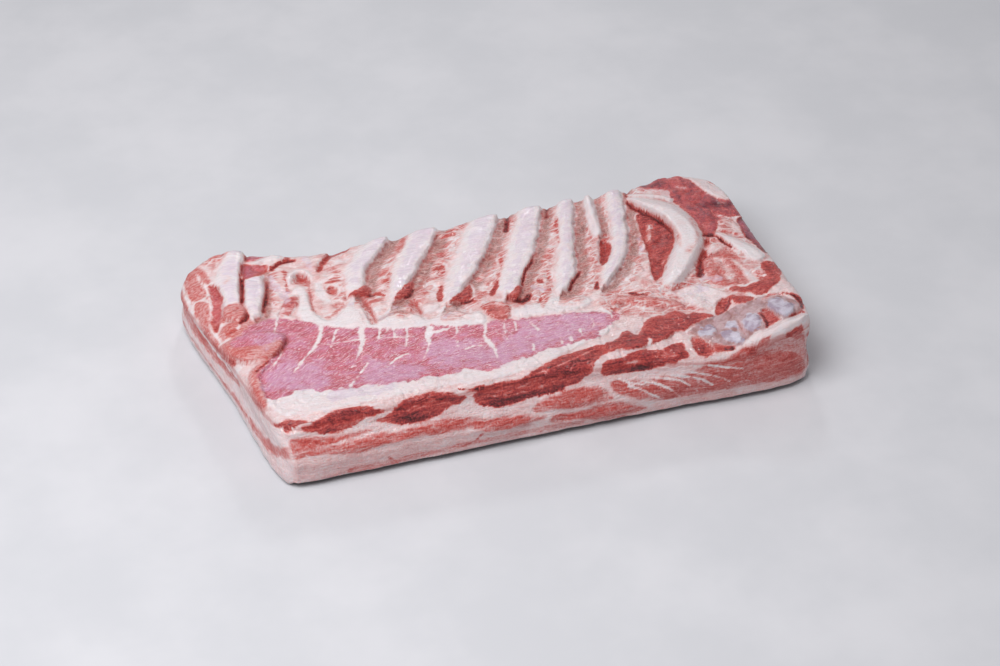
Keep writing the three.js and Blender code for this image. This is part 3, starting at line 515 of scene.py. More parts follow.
LENS_SHADE = (-0.3, 0.45)  # how much lighter a lens is painted at its top and darker at its foot, as painted light and shade
FRONT_SHADE = 0.12  # how much darker the front side is painted than the same tissue on the rib side, as painted shade
SHADED_SKIN_HEIGHT = (1, 4.2)  # how high the skin band is painted near-black as contact shadow, round the slab and along the front

# Random swells: (height, size across, seed).
STRIP_EDGES = [(0.9, 7, 11), (0.5, 3, 12)]
CHANNEL_SWELLS = [(0.4, 8, 7)]
TORN_SWELLS = [(0.9, 9, 1), (0.5, 4, 2)]
RIB_SIDE_SWELLS = [(0.5, 26, 3), (0.25, 11, 6)]
SIDE_SWELLS = [(0.5, 13, 21), (0.2, 4.5, 22)]
SIDE_RIPPLES = [(0.25, 1.8, 23)]
SIDE_GAP = 0.95  # what the sides stay inside the plan, so that no swell leaves the CAD box
TISSUE_EDGES = [(1.2, 7, 41), (0.9, 2.6, 42), (0.5, 1.4, 46)]
SILVERSKIN_EDGES = [(2.2, 5.5, 43), (1.3, 2.2, 44)]
FRINGE = [(2, 6, 45)]
FEATHERS = [(0.9, 9, 1.7, 47), (0.5, 6, 0.9, 48)]  # (height, how far drawn out, size across, seed)
TORN_CREASES = [(0.9, 13, 4, 0.14), (0.5, 6, 5, 0.16)]  # (depth, size across, seed, width)

# Rounds of evening out: of the heights seen from the camera, of the directions out of the corners, and of
# the neighbourhoods that a place can be sunk under, with how much each of these counts.
SETTLE_ROUNDS = 10
SETTLE_STEP = 0.35
CORNER_ROUNDS = 12
NEIGHBOURHOODS = [(3, 1), (22, 0.7)]

# What the mesh carries for its material: how lean it is, where the bed, gristle, silverskin, film and net
# of strands lie, where fibres run across, the skin, how sunk it is, and how the muscle's fibres climb.
# The skin band is painted near-black as contact shadow, and sunk places are darkened as painted shade.
FIELDS = ("lean", "bed", "gristle", "silver", "film", "web", "endwise", "skin", "hollow", "climb")
MUSCLE_CLIMB = [(-215, -75), (-180, -45), (-140, -20), (-90, -4), (-40, 4), (60, 8)]

# ---- Colours, finish and lights ----

# The colour of the meat by how lean it is.
LEAN_COLOURS = [
    (-1.2, (0.81, 0.74, 0.77)), (-0.7, (0.80, 0.65, 0.665)), (-0.3, (0.75, 0.50, 0.50)),
    (0.1, (0.68, 0.35, 0.345)), (0.35, (0.62, 0.235, 0.228)), (0.6, (0.575, 0.14, 0.127)),
    (0.9, (0.52, 0.07, 0.057)), (1.25, (0.35, 0.038, 0.04)), (1.7, (0.13, 0.014, 0.018)),
    (2.1, (0.045, 0.005, 0.006)),
]
TONES = {
    "bed": (0.25, 0.09, 0.08), "pale bed": (0.46, 0.22, 0.20), "strand": (0.62, 0.42, 0.40),
    "muscle": (0.40, 0.045, 0.07), "pale muscle": (0.66, 0.18, 0.245), "flush": (0.59, 0.20, 0.31),
    "veil": (0.61, 0.31, 0.47), "fleck_and_glint": (0.8, 0.62, 0.68), "lavender": (0.67, 0.55, 0.67),
    "gristle": (0.38, 0.19, 0.19), "pale gristle": (0.55, 0.38, 0.41), "pearl": (0.60, 0.55, 0.65),
    # The skin band's near-black tone is painted contact shadow; the tone after it darkens recesses as
    # painted shade.
    "grey pearl": (0.38, 0.29, 0.38), "skin": (0.07, 0.028, 0.024), "recess_shade": (0.70, 0.36, 0.34),
    "floor": (0.56, 0.565, 0.60), "pale floor": (0.615, 0.615, 0.65),
}
STRAND_WIDTH = 0.12  # as a share of a cell of the net
MEAT_FINISH = {
    "Subsurface Weight": 0.2,
    "Subsurface Radius": (1.0, 0.35, 0.25),
    "Subsurface Scale": 0.0012,
    "Specular IOR Level": 0.25,
    "Coat Weight": 0.6,
    "Coat Roughness": 0.08,
}

# In metres: half the floor and its gap under the slab, and the lights as (name, place, size, power).
FLOOR_HALF = 6.0
FLOOR_GAP = 0.0002
LIGHTS = [("softbox", (-0.65, -0.35, 1.4), 1.1, 24), ("window", (0.43, 1.33, 1.08), 0.2, 4)]
WORLD_COLOUR = (1.0, 0.98, 0.985, 1)
WORLD_STRENGTH = 0.335


# ---- Small functions ----

REACH = 12.0  # how far from a shape its depth is still told
FAR = 1e6
TINY = 1e-9
CELLS = (1024, 512)  # the grid of random values that swells are drawn from
GRID_MIDDLE = (300, 60)


def smooth(start, end, t):
    s = np.clip((t - start) / (end - start), 0, 1)
    return s * s * (3 - 2 * s)


def mix(a, b, t):
    return a + (b - a) * t


def through(knots, t):
    """A smooth value through knots (place, value), level beyond both ends."""
    t = np.clip(t, knots[0][0], knots[-1][0])
    result = 0.0 * t
    for n in range(len(knots) - 1):
        (t0, v0), (t1, v1) = knots[n : n + 2]
        before, after = knots[max(n - 1, 0)], knots[min(n + 2, len(knots) - 1)]
        m0 = (v1 - before[1]) / (t1 - before[0]) * (t1 - t0)
        m1 = (after[1] - v0) / (after[0] - t0) * (t1 - t0)
        s = (t - t0) / (t1 - t0)
        curve = (2 * s**3 - 3 * s**2 + 1) * v0 + (s**3 - 2 * s**2 + s) * m0
        curve += (3 * s**2 - 2 * s**3) * v1 + (s**3 - s**2) * m1
        result = np.where(t >= t0, curve, result)
    return result


def rounded(points, closed):
    """The points of an outline or line with its corners cut twice."""
    points = np.array(points, float)
    for _ in range(2):
        after = np.roll(points, -1, axis=0)
        cut = np.stack([mix(points, after, 0.25), mix(points, after, 0.75)], axis=1)
        if closed:
            points = cut.reshape(-1, points.shape[1])
        else:
            points = np.vstack([points[:1], cut[:-1].reshape(-1, points.shape[1]), points[-1:]])
    return points


def is_line(shape):
    """Whether a shape is a line of (x, y, half width) rather than an outline of (x, y)."""
    return len(shape[0]) == 3


def nearest_on(start, end, x, y):
    """For each place, how far along a stretch its nearest point lies, and the distance to it."""
    (x0, y0), (dx, dy) = start[:2], end[:2] - start[:2]
    s = np.clip(((x - x0) * dx + (y - y0) * dy) / max(dx * dx + dy * dy, TINY), 0, 1)
    return s, np.hypot(x - x0 - s * dx, y - y0 - s * dy)


def depth(shape, x, y):
    """How far inside a shape each place lies, negative outside it and never under -REACH."""
    closed = not is_line(shape)
    knots = rounded(shape, closed)
    reach = REACH + (0 if closed else knots[:, 2].max())
    low, high = knots[:, :2].min(0) - reach, knots[:, :2].max(0) + reach
    near = (x > low[0]) & (x < high[0]) & (y > low[1]) & (y < high[1])
    px, py = x[near], y[near]
    best = np.full(px.shape, -REACH)
    nearest = np.full(px.shape, FAR)
    inside = np.zeros(px.shape, bool)
    ends = np.roll(knots, -1, axis=0) if closed else knots[1:]
    for start, end in zip(knots, ends):
        s, away = nearest_on(start, end, px, py)
        if closed:
            (x0, y0), (dx, dy) = start, end - start
            nearest = np.minimum(nearest, away)
            crosses = (py < y0) != (py < y0 + dy)
            inside ^= crosses & (px < x0 + (py - y0) * dx / (dy or TINY))
        else:
            best = np.maximum(best, mix(start[2], end[2], s) - away)
    if closed:
        best = np.where(inside, nearest, -nearest)
    result = np.full(x.shape, -REACH)
    result[near] = np.clip(best, -REACH, REACH)
    return result


def beside(path, x, y):
    """The distance to the side of a line, positive towards the shoulder, and the half width there."""
    knots = rounded(path, False)
    nearest = np.full(x.shape, FAR)
    side = np.zeros(x.shape)
    width = np.zeros(x.shape)
    for start, end in zip(knots, knots[1:]):
        s, away = nearest_on(start, end, x, y)
        (x0, y0, w0), (dx, dy, dw) = start, end - start
        closer = away < nearest
        nearest = np.where(closer, away, nearest)
        side = np.where(closer, np.sign((x - x0) * dy - (y - y0) * dx) * away, side)
        width = np.where(closer, w0 + dw * s, width)
    return side, width


def lumps(x, y, size, seed):
    """Smooth random swells from -1 to 1, about size across."""
    grid = np.random.default_rng(seed).uniform(-1, 1, CELLS)
    gx, gy = x / size + GRID_MIDDLE[0], y / size + GRID_MIDDLE[1]
    i, j = np.floor(gx).astype(int), np.floor(gy).astype(int)
    fx, fy = smooth(0, 1, gx - i), smooth(0, 1, gy - j)

    def row(step):
        down = (j + step) % CELLS[1]
        return mix(grid[i % CELLS[0], down], grid[(i + 1) % CELLS[0], down], fx)

    return mix(row(0), row(1), fy)


def swells(x, y, recipe):
    return sum(height * lumps(x, y, size, seed) for height, size, seed in recipe)


def creases(x, y, recipe):
    """Thin winding lines where a swell crosses its mean."""
    return sum(deep * smooth(width, 0, abs(lumps(x, y, size, seed))) for deep, size, seed, width in recipe)


def seen_on_top(x, y, z):
    """Where the line of sight through a point crosses the level plane at TOP."""
    k = (EYE[2] - TOP) / (EYE[2] - z)
    return EYE[0] + (x - EYE[0]) * k, EYE[1] + (y - EYE[1]) * k


def seen_on_front(x, y, z):
    """Where the line of sight through a point crosses the upright plane y = 0, as (x, z)."""
    k = -EYE[1] / (y - EYE[1])
    return EYE[0] + (x - EYE[0]) * k, EYE[2] + (z - EYE[2]) * k


# ---- Form ----


def plan(u, v):
    """The plan at u along and v across: a patch between the slab's four edges, bent to follow the ribs."""
    ribs = RIB_LEAN * np.sin(np.pi * u)
    front_flank, front_shoulder = FRONT_Y[0][0], FRONT_Y[-1][0]
    (loin_flank, flank_end), (loin_shoulder, shoulder_end) = LOIN_Y[0], LOIN_Y[-1]
    front_x = mix(front_flank, front_shoulder, u)
    loin_x = mix(loin_flank, loin_shoulder, u) + ribs
    flank_y, shoulder_y = flank_end * v, shoulder_end * v
    x = mix(front_x, loin_x, v) + mix(through(FLANK_X, flank_y), through(SHOULDER_X, shoulder_y), u)
    x -= mix(front_x, loin_x - ribs, v)
    y = mix(through(FRONT_Y, front_x), through(LOIN_Y, loin_x), v) + mix(flank_y, shoulder_y, u)
    y -= v * mix(flank_end, shoulder_end, u)
    return x + ribs * (smooth(RIBS_START, 1, v) - v), y


def lean_back(x, v, z):
    """How far the front side leans back, fading out across the slab."""
    return through(FRONT_LEAN, x) * (1 - smooth(0, 0.3, v)) * smooth(18, TOP, z)


def base_height(x, y):
    return through([(station, through(heights, x)) for station, heights in STATIONS], y)


def strip_relief(x, y):
    """The strips with their channels: a strip falls off steeply on its shoulder side."""
    rise = np.zeros(x.shape)
    sink = np.zeros(x.shape)
    for path, channel in STRIPS:
        side, width = beside(path, x, y)
        width = width + swells(x, y, STRIP_EDGES)
        steep = 1 - smooth(width - 1.5, width + 1.5, side)
        gentle = 1 - smooth(width - 5, width + 6, -side)
        crown = mix(STRIP_CROWN, 1, np.clip(1 - (side / width) ** 2, 0, 1))
        rise = np.maximum(rise, np.where(side > 0, steep, gentle) * crown)
        across = np.clip((side - width - CHANNEL_MIDDLE * channel) / (channel / 2 + CHANNEL_BANK), -1, 1)
        sink = np.maximum(sink, np.cos(np.pi / 2 * across) ** 2)
    return STRIP_RISE * rise - CHANNEL_DEPTH * sink * (1 - rise)


def relief(x, y):
    """How far the rib side stands over its base height, at places given on the plane at TOP."""
    up = np.zeros(x.shape)
    down = np.zeros(x.shape)
    for _, rise, shape in UNDER_STRIPS + OVER_STRIPS:
        if rise:
            slope = smooth(-0.5 * abs(rise), 0.3 + 0.9 * abs(rise), depth(shape, x, y))
            up = np.maximum(up, rise * slope)
            down = np.minimum(down, rise * slope)
    muscle = depth(SILVERSKIN, x, y)
    up = np.maximum(up, MUSCLE_RISE * smooth(-3, 4, muscle))
    channels = strip_relief(x, y) + swells(x, y, CHANNEL_SWELLS)
    grown = np.maximum(channels, up) + np.where(up > channels, SUNK_SHARE * np.minimum(channels, 0), 0)
    torn = smooth(3, 0, muscle) * smooth(3, 0.8, grown) * smooth(2.2, 0.4, up)
    torn = torn * (swells(x, y, TORN_SWELLS) - creases(x, y, TORN_CREASES))
    return grown + down + torn + swells(x, y, RIB_SIDE_SWELLS)


def settle(x, y, base):
    """The heights at which the relief seen from the camera lies where it should."""
    z = base.copy()
    for _ in range(SETTLE_ROUNDS):
        z += SETTLE_STEP * (base + relief(*seen_on_top(x, y, z)) - z)
    return z


def lens_reach(lens, x, z):
    """How far places on the front side lie from the middle of a lens-shaped muscle, 1 at its rim."""
    middle_x, middle_z, length, height = lens
    return np.hypot((x - middle_x) / length, (z - middle_z) / height)


def front_out(x, z):
    """How far the lens-shaped muscles swell out of the front side."""
    return LENS_BULGE * np.max([1 - smooth(0.3, 1.1, lens_reach(lens, x, z)) for lens in LENSES], axis=0)


def layer_out(along, z):
    """The ripple of the layers on the other sides."""
    return LAYER_WAVE * np.sin(z / LAYER_PITCH + 0.8 * np.sin(along / LAYER_SWAY))


# ---- Tissues ----


def bare(x, y):
    """Plain fat, as layers: how lean it is, where special tissues lie, and how edges wander."""
    layers = {name: np.zeros(x.shape) for name in ("bed", "gristle", "silver", "film", "web")}
    layers["lean"] = np.full(x.shape, LEAN["fat"])
    layers["wander"] = swells(x, y, TISSUE_EDGES)
    return layers


def paint(layers, tissue, inside, loose=1.0, soft=None):
    """Lays a tissue over what is there; its edge wanders by loose."""
    soft = SOFT[tissue] if soft is None else soft
    share = smooth(0, 1, 0.5 + (inside + loose * layers["wander"]) / (2 * soft))
    deeper = DEEPER * smooth(1, 6, inside) if tissue in DEEPENING else 0.0
    layers["lean"] = mix(layers["lean"], LEAN[tissue] + deeper, share)
    for name in ("bed", "gristle", "silver"):
        layers[name] = mix(layers[name], 1.0 if tissue == name else 0.0, share)
    layers["web"] = mix(layers["web"], 1.0 if tissue in TORN else 0.0, share)
    layers["film"] = layers["film"] * (1 - share)


def lay_film(layers, inside, soft):
    layers["film"] = np.maximum(layers["film"], smooth(-soft, soft, inside + 2 * layers["wander"]))


def lay_silverskin(layers, x, y):
    jagged = depth(SILVERSKIN, x, y) + swells(x, y, SILVERSKIN_EDGES)
    layers["silver"] = np.maximum(layers["silver"], smooth(-0.7, 0.7, jagged))


def lay_wine(layers, x, y):
    """The purplish skin of some lean: a thin silverskin over a strong net."""
    for shape, share in WINE:
        inside = smooth(-2, 3, depth(shape, x, y))
        layers["silver"] = np.maximum(layers["silver"], share * inside)
        layers["web"] = np.maximum(layers["web"], 0.8 * inside)


def paint_strips(layers, x, y):
    """A strip of clean fat under its film, and beside it the rib's bed, reddest at the strip's foot."""
    for path, channel in STRIPS:
        side, width = beside(path, x, y)
        away = abs(side) - width
        past = np.where(side > 0, 0, -REACH)
        paint(layers, "pink", channel / 2 - abs(away - 0.8 * channel) + past)
        paint(layers, "bed", CHANNEL_MIDDLE * channel - abs(away - CHANNEL_MIDDLE * channel) + past)
        paint(layers, "flesh", 1 - abs(away - 1) + past, 0.6)
        paint(layers, "white", depth(path, x, y) + 0.5, 1.2, np.where(side < 0, 3.0, 0.8))
        core = depth([(px, py, 0.55 * half) for px, py, half in path], x, y)
        lay_film(layers, core - 2 + 2.5 * smooth(145, 195, y), 3)


def paint_top(layers, x, y):
    """Paints what lies on the rib side, at places on the plane at TOP."""
    for tissue, _, shape in UNDER_STRIPS:
        paint(layers, tissue, depth(shape, x, y))
    paint_strips(layers, x, y)
    fringe = swells(x, y, FRINGE)
    for tissue, rise, shape in OVER_STRIPS:
        inside = depth(shape, x, y)
        large = not is_line(shape) and inside.max() > 3
        if large and LEAN[tissue] > LEAN["pink"]:
            paint(layers, "cream", fringe - abs(inside + 1.2), 0.4, 0.8)
        paint(layers, tissue, inside, 0.7)
        if tissue == "gristle" and rise > 1:
            lay_film(layers, inside - 1, 1.5)
    lay_silverskin(layers, x, y)
    for shape in FILM:
        lay_film(layers, depth(shape, x, y), 9)
    for line in LILAC:
        lay_film(layers, depth(line, x, y) - 1, 2)
    lay_wine(layers, x, y)
    for vein in VEINS:
        paint(layers, "white", depth(vein, x, y) - 0.3, 0.8, 0.6)


def paint_front(layers, x, z, share):
    """Paints what shows on the front side; the lower part of a muscle is painted darker, as shade."""
    feathers = sum(high * lumps(x / drawn + z / 2, z, size, seed) for high, drawn, size, seed in FEATHERS)
    for tissue, shape in FRONT:
        edge, soft = (0.1, 0.5) if is_line(shape) else (feathers, None)
        paint(layers, tissue, mix(-REACH, depth(shape, x, z) + edge, share), 0.5, soft)
    layers["web"] = layers["web"] * (1 - share)
    # Painted light and shade: each lens-shaped muscle lighter at its top and darker at its foot, and the
    # whole front side darker.
    darker = np.zeros(x.shape)
    for lens in LENSES:
        lower = smooth(0.8, -0.5, (z - lens[1]) / lens[3])
        darker = mix(darker, mix(*LENS_SHADE, lower), 1 - smooth(0.8, 1.3, lens_reach(lens, x, z)))
    darker = darker * smooth(0.7, 1.0, layers["lean"]) + FRONT_SHADE
    layers["lean"] = layers["lean"] + share * darker


def paint_layers(layers, along, z, seed, heights, thick):
    """A cut side's layers: lean that swells and thins along the side between seams of fat."""
    for n, middle in enumerate(heights):
        wander = middle + 2.5 * lumps(along, 0 * z, 60, seed + n)
        half = thick + 0.6 * thick * lumps(along, 0 * z, 38, seed + 10 + n)
        inside = half - np.abs(z - wander) + 0.8 * lumps(along, z, 7, seed + 5)
        paint(layers, "red" if n == len(heights) - 1 else "rose", inside)


def side_tissues(x, y, z, rim_z, nx, ny, facing_front):
    """The tissues of the sides: each has its own layers, and the rib side's reach a little way down."""
    seen = seen_on_top(x, y, z)
    rim = bare(*seen)
    paint_top(rim, *seen)
    paint_front(rim, *seen_on_front(x, y, z), facing_front + 0 * z)
    flank = bare(y, z)
    for tissue, shape in FLANK:
        paint(flank, tissue, depth(shape, y, z))
    loin = bare(x, z)
    paint_layers(loin, x, z, *LOIN_LAYERS)
    shoulder = bare(y, z)
    paint_layers(shoulder, y, z, *SHOULDER_LAYERS)
    below = smooth(1, 8, rim_z - z) * (1 - facing_front)
    side = {}
    for name in rim:
        ends = mix(flank[name], shoulder[name], smooth(-0.5, 0.5, nx))
        side[name] = mix(rim[name], mix(ends, loin[name], smooth(0.5, 0.85, ny)), below)
    return side


# ---- Mesh ----


def sunk(z):
    """How far each place of a grid of heights lies under its neighbourhood, near and wide."""
    result = 0 * z
    level = z
    for rounds, share in NEIGHBOURHOODS:
        for _ in range(rounds):
            padded = np.pad(level, 1, mode="edge")
            level = (padded[2:, 1:-1] + padded[:-2, 1:-1] + padded[1:-1, 2:] + padded[1:-1, :-2]) / 4
        result += share * (level - z)
    return result


def rib_side(u, v):
    """The rib side's places at u along and v across, and its tissues."""
    x, y = plan(u, v)
    y = y + lean_back(x, v, TOP)
    near_end = 1 - np.clip(np.minimum(u, 1 - u) * LENGTH / EDGE_ROUND, 0, 1)
    near_side = 1 - np.clip(np.minimum(v, 1 - v) * WIDTH / EDGE_ROUND, 0, 1)
    fall = np.minimum(1, np.hypot(near_end, near_side))
    z = settle(x, y, base_height(x, y) - EDGE_DROP * (1 - np.sqrt(1 - fall * fall)))
    z = np.minimum(z, cad_box[1].z * MM - BOX_GAP)
    seen = seen_on_top(x, y, z)
    fields = bare(*seen)
    paint_top(fields, *seen)
    paint_front(fields, *seen_on_front(x, y, z), smooth(0.16, 0.08, v))
    # How sunk each place is; the material darkens sunk places as painted shade.
    fields.update(endwise=0, skin=-REACH, hollow=sunk(z), climb=through(MUSCLE_CLIMB, x))
    return (x, y, z), fields


def outward(x, y):
    """The directions out of an outline, evened out round its corners."""
    nx, ny = np.roll(y, -1) - np.roll(y, 1), np.roll(x, 1) - np.roll(x, -1)
    size = np.hypot(nx, ny)
    nx, ny = nx / size, ny / size
    for _ in range(CORNER_ROUNDS):
        nx, ny = [(np.roll(n, 1) + n + np.roll(n, -1)) / 3 for n in (nx, ny)]
    size = np.hypot(nx, ny)
    return nx / size, ny / size


def cut_sides(u, v, rim_z):
    """The sides' places, ring by ring from the skin up to the edge of the rib side, and their tissues."""
    outline_x, outline_y = plan(u, v)
    nx, ny = outward(outline_x, outline_y)
    facing_front = smooth(0.6, 0.9, -ny)
    share = np.linspace(0, 1, LEVELS + 1)[:-1, None] ** LEVELS_CROWD
    z = share * rim_z
    bulge = mix(layer_out(outline_x + outline_y, z), front_out(outline_x + 0 * z, z), smooth(0.5, 0.95, -ny))
    along = np.where(abs(ny) > abs(nx), outline_x, outline_y) + 0 * z
    rough = swells(along, z, SIDE_SWELLS) + swells(along / 5, z, SIDE_RIPPLES)
    out = (bulge + rough - SIDE_GAP) * smooth(1, 0.85, share)
    undercut = mix(SKIN_ROUND, UNDERCUT, facing_front)
    out -= undercut * (1 - np.sqrt(np.clip(z / SKIN_ROUND, 0, 1)))
    out -= STEP_SHARE * (undercut - SKIN_ROUND) * smooth(*STEP_HEIGHTS, z)
    x = outline_x + nx * out
    y = outline_y + ny * out + lean_back(outline_x + 0 * z, v, z)
    fields = side_tissues(x, y, z, rim_z, nx, ny, facing_front)
    # The skin band reaches this high from the foot and is painted near-black as contact shadow.
    skin = mix(*SHADED_SKIN_HEIGHT, facing_front) - z
    # Where the side dips between its swells, the material darkens it as painted shade.
    fields.update(endwise=smooth(0.5, 0.9, abs(nx)), skin=skin, hollow=-rough, climb=0)
    return (x, y, z), fields


def edge_places():
    """Grid places round the edge of the rib side, anticlockwise from the front flank corner."""
    i = [*range(COLUMNS), *[COLUMNS] * ROWS, *range(COLUMNS, 0, -1), *[0] * ROWS]
    j = [*[0] * COLUMNS, *range(ROWS), *[ROWS] * COLUMNS, *range(ROWS, 0, -1)]
    return np.array(i), np.array(j)


def faces(i, j):
    """The quads of the rib side and the sides, and the fan of triangles that closes the skin."""
    top = np.arange((ROWS + 1) * (COLUMNS + 1)).reshape(ROWS + 1, COLUMNS + 1)
    rings = top.size + np.arange(LEVELS * len(i)).reshape(LEVELS, len(i))
    heart = np.full(len(i), top.size + rings.size)
    rings = np.vstack([rings, top[j, i]])
    low, high = rings[:-1], rings[1:]
    top_quads = np.stack([top[:-1, :-1], top[:-1, 1:], top[1:, 1:], top[1:, :-1]], -1)
    side_quads = np.stack([low, np.roll(low, -1, 1), np.roll(high, -1, 1), high], -1)
    fan = np.stack([heart, np.roll(rings[0], -1), rings[0]], -1)
    return np.concatenate([top_quads.reshape(-1, 4), side_quads.reshape(-1, 4)]), fan


def build_slab():
    """The whole surface, in metres about the part's origin, with its tissues as attributes."""
    u, v = np.meshgrid(np.linspace(0, 1, COLUMNS + 1), np.linspace(0, 1, ROWS + 1))
    (x, y, z), top = rib_side(u, v)
    i, j = edge_places()
    (side_x, side_y, side_z), side = cut_sides(u[j, i], v[j, i], z[j, i])

    def gather(top, side, heart=0):
        """Values on the rib side, on the sides and at the heart of the skin, as one list."""
        return np.concatenate([(top + 0 * z).ravel(), (side + 0 * side_z).ravel(), [heart]])

    points = np.stack([
        gather(x, side_x, MIDDLE[0]) - MIDDLE[0],
        gather(y, side_y, MIDDLE[1]) - MIDDLE[1],
        gather(z, side_z),
    ], axis=1) / MM
    fields = {name: gather(top[name], side[name], REACH if name == "skin" else 0) for name in FIELDS}
    grain = np.stack([
        gather(u * LENGTH, u[j, i] * LENGTH),
        gather(v * WIDTH, v[j, i] * WIDTH),
        gather(z, side_z),
    ], axis=1)
    return points, *faces(i, j), fields, grain


def add_object(name, data):
    added = bpy.data.objects.new(name, data)
    bpy.context.scene.collection.objects.link(added)
    return added


def slab_object(points, quads, fan, fields, grain):
    mesh = bpy.data.meshes.new("pork_belly")
    mesh.from_pydata(points.tolist(), [], quads.tolist() + fan.tolist())
    mesh.polygons.foreach_set("use_smooth", np.ones(len(mesh.polygons), bool))
    for name, values in fields.items():
        mesh.attributes.new(name, "FLOAT", "POINT").data.foreach_set("value", values.astype(np.float32))
    grain_attribute = mesh.attributes.new("grain", "FLOAT_VECTOR", "POINT")
    grain_attribute.data.foreach_set("vector", grain.astype(np.float32).ravel())
    mesh.update()
    return add_object("pork_belly", mesh)


# ---- Materials ----


class Value:
    """A node's output. Sums, differences and products of it are Math nodes."""

    def __init__(self, tree, socket):
        self.tree = tree
        self.socket = socket

    def __add__(self, other):
        return put(self.tree, "Math", {0: self, 1: other}, operation="ADD")

    def __sub__(self, other):
        return put(self.tree, "Math", {0: self, 1: other}, operation="SUBTRACT")

    def __mul__(self, other):
        return put(self.tree, "Math", {0: self, 1: other}, operation="MULTIPLY")


def plug(node, inputs):
    """Links a node's inputs where they are values, and sets them where they are numbers or colours."""
    for name, value in inputs.items():
        if isinstance(value, Value):
            value.tree.links.new(value.socket, node.inputs[name])
        else:
            node.inputs[name].default_value = value


def put(tree, kind, inputs, output=0, **settings):
    """Adds a node and returns one of its outputs."""
    node = tree.nodes.new("ShaderNode" + kind)
    for name, value in settings.items():
        setattr(node, name, value)
    plug(node, inputs)
    return Value(tree, node.outputs[output])


def ramp(value, start, end, low=0.0, high=1.0):
    """Climbs smoothly from low to high as a value goes from start to end."""
    inputs = {"Value": value, "From Min": start, "From Max": end, "To Min": low, "To Max": high}
    return put(value.tree, "MapRange", inputs, interpolation_type="SMOOTHSTEP")


def blend(share, a, b):
    return put(share.tree, "Mix", {0: share, 2: a, 3: b}, data_type="FLOAT")


def cover(share, under, over, **settings):
    """A colour mixed over another by share; a colour is a value or the name of a tone."""
    under, over = [(*TONES[side], 1) if isinstance(side, str) else side for side in (under, over)]
    tree = share.tree if isinstance(share, Value) else under.tree
    return put(tree, "Mix", {0: share, 6: under, 7: over}, output=2, data_type="RGBA", **settings)


def stretched(place, scale):
    """A place with scale cells a millimetre, the same along each axis or one scale for each."""
    scale = (scale, scale, scale) if isinstance(scale, float) else scale
    return put(place.tree, "VectorMath", {0: place, 1: scale}, operation="MULTIPLY")


def noise(place, scale, detail=2.0, roughness=0.5):
    inputs = {"Vector": stretched(place, scale), "Scale": 1.0, "Detail": detail, "Roughness": roughness}
    return put(place.tree, "TexNoise", inputs)


def strands(place, scale):
    """A net of strands along the edges of random cells."""
    inputs = {"Vector": stretched(place, scale), "Scale": 1.0}
    return ramp(put(place.tree, "TexVoronoi", inputs, feature="DISTANCE_TO_EDGE"), STRAND_WIDTH, 0.0)


def palette(value, stops):
    """A colour by a value, from stops (value, colour)."""
    first, last = stops[0][0], stops[-1][0]
    share = put(value.tree, "MapRange", {"Value": value, "From Min": first, "From Max": last})
    node = value.tree.nodes.new("ShaderNodeValToRGB")
    plug(node, {"Fac": share})
    elements = node.color_ramp.elements
    while len(elements) < len(stops):
        elements.new(0.5)
    for element, (place, tone) in zip(elements, stops):
        element.position = (place - first) / (last - first)
        element.color = (*tone, 1)
    return Value(value.tree, node.outputs["Color"])


def new_material(name):
    material = bpy.data.materials.new(name)
    material.use_nodes = True
    tree = material.node_tree
    return material, tree, tree.nodes["Principled BSDF"]


def meat_patterns(tree, field):
    """The noises and nets of the meat, over places that wind a little."""
    grain = put(tree, "Attribute", {}, output="Vector", attribute_name="grain")
    bend = put(tree, "TexNoise", {"Vector": grain, "Scale": 0.09, "Detail": 1.0}, output=1)
    bent = put(tree, "VectorMath", {0: bend, 1: (5.0, 5.0, 5.0), 2: grain}, operation="MULTIPLY_ADD")
    climb = put(tree, "CombineXYZ", {"Y": field.climb * -1.0})
    climbing = put(tree, "VectorMath", {0: bent, 1: climb}, operation="ADD")

    # Fibres run along the slab, or round its ends where endwise is 1; the big muscle's climb across it.
    along_slab = noise(bent, (0.05, 0.7, 0.7), 3, 0.65)
    along_ribs = noise(bent, (0.7, 0.05, 0.7), 3, 0.65)
    muscle_fibre = noise(climbing, (0.05, 0.7, 0.7), 3, 0.65)
    return SimpleNamespace(
        along_slab=along_slab,
        muscle_fibre=muscle_fibre,
        fibre=blend(field.silver, blend(field.endwise, along_slab, along_ribs), muscle_fibre),
        flecks_and_glints=noise(climbing, (0.3, 1.3, 1.3), 3, 0.7),
        blotch=noise(grain, 0.04),
        cloud=noise(bent, 0.14, 3),
        crumb=noise(bent, 0.6, 3, 0.6),
        fine=noise(grain, 2.0, 2, 0.6),
        wet=noise(bent, (0.25, 0.4, 0.4)),
        wide_net=strands(bent, (0.07, 0.16, 0.15)),
        fine_net=strands(bent, (0.28, 0.42, 0.35)),
    )


def meat_colour(field, pattern):
    """Fat and marbled lean under a net of pale strands, and the brown bed of the channels."""
    netted = pattern.wide_net * field.web * ramp(field.lean, -0.5, 0.0) * ramp(field.lean, 0.85, 0.6)
    streaks = (pattern.fibre - 0.5) * 1.7 + (pattern.crumb - 0.5) * 1.2
    streaks = streaks * ramp(field.lean, -0.8, 0.9, 0.55, 1.4)
    patches = (pattern.cloud - 0.5) * 1.3 + (pattern.blotch - 0.5) * 1.2
    patches = patches * (field.web * 1.1 + 0.5)
    meat = palette(field.lean + patches + streaks - netted * 0.9, LEAN_COLOURS)
    brown = cover(ramp(pattern.crumb, 0.35, 0.65), "bed", "pale bed")
    brown = cover(pattern.fine_net * 0.75, brown, "strand")
    return cover(field.bed * ramp(pattern.cloud, 0.35, 0.65, 1.0, 0.6), meat, brown)


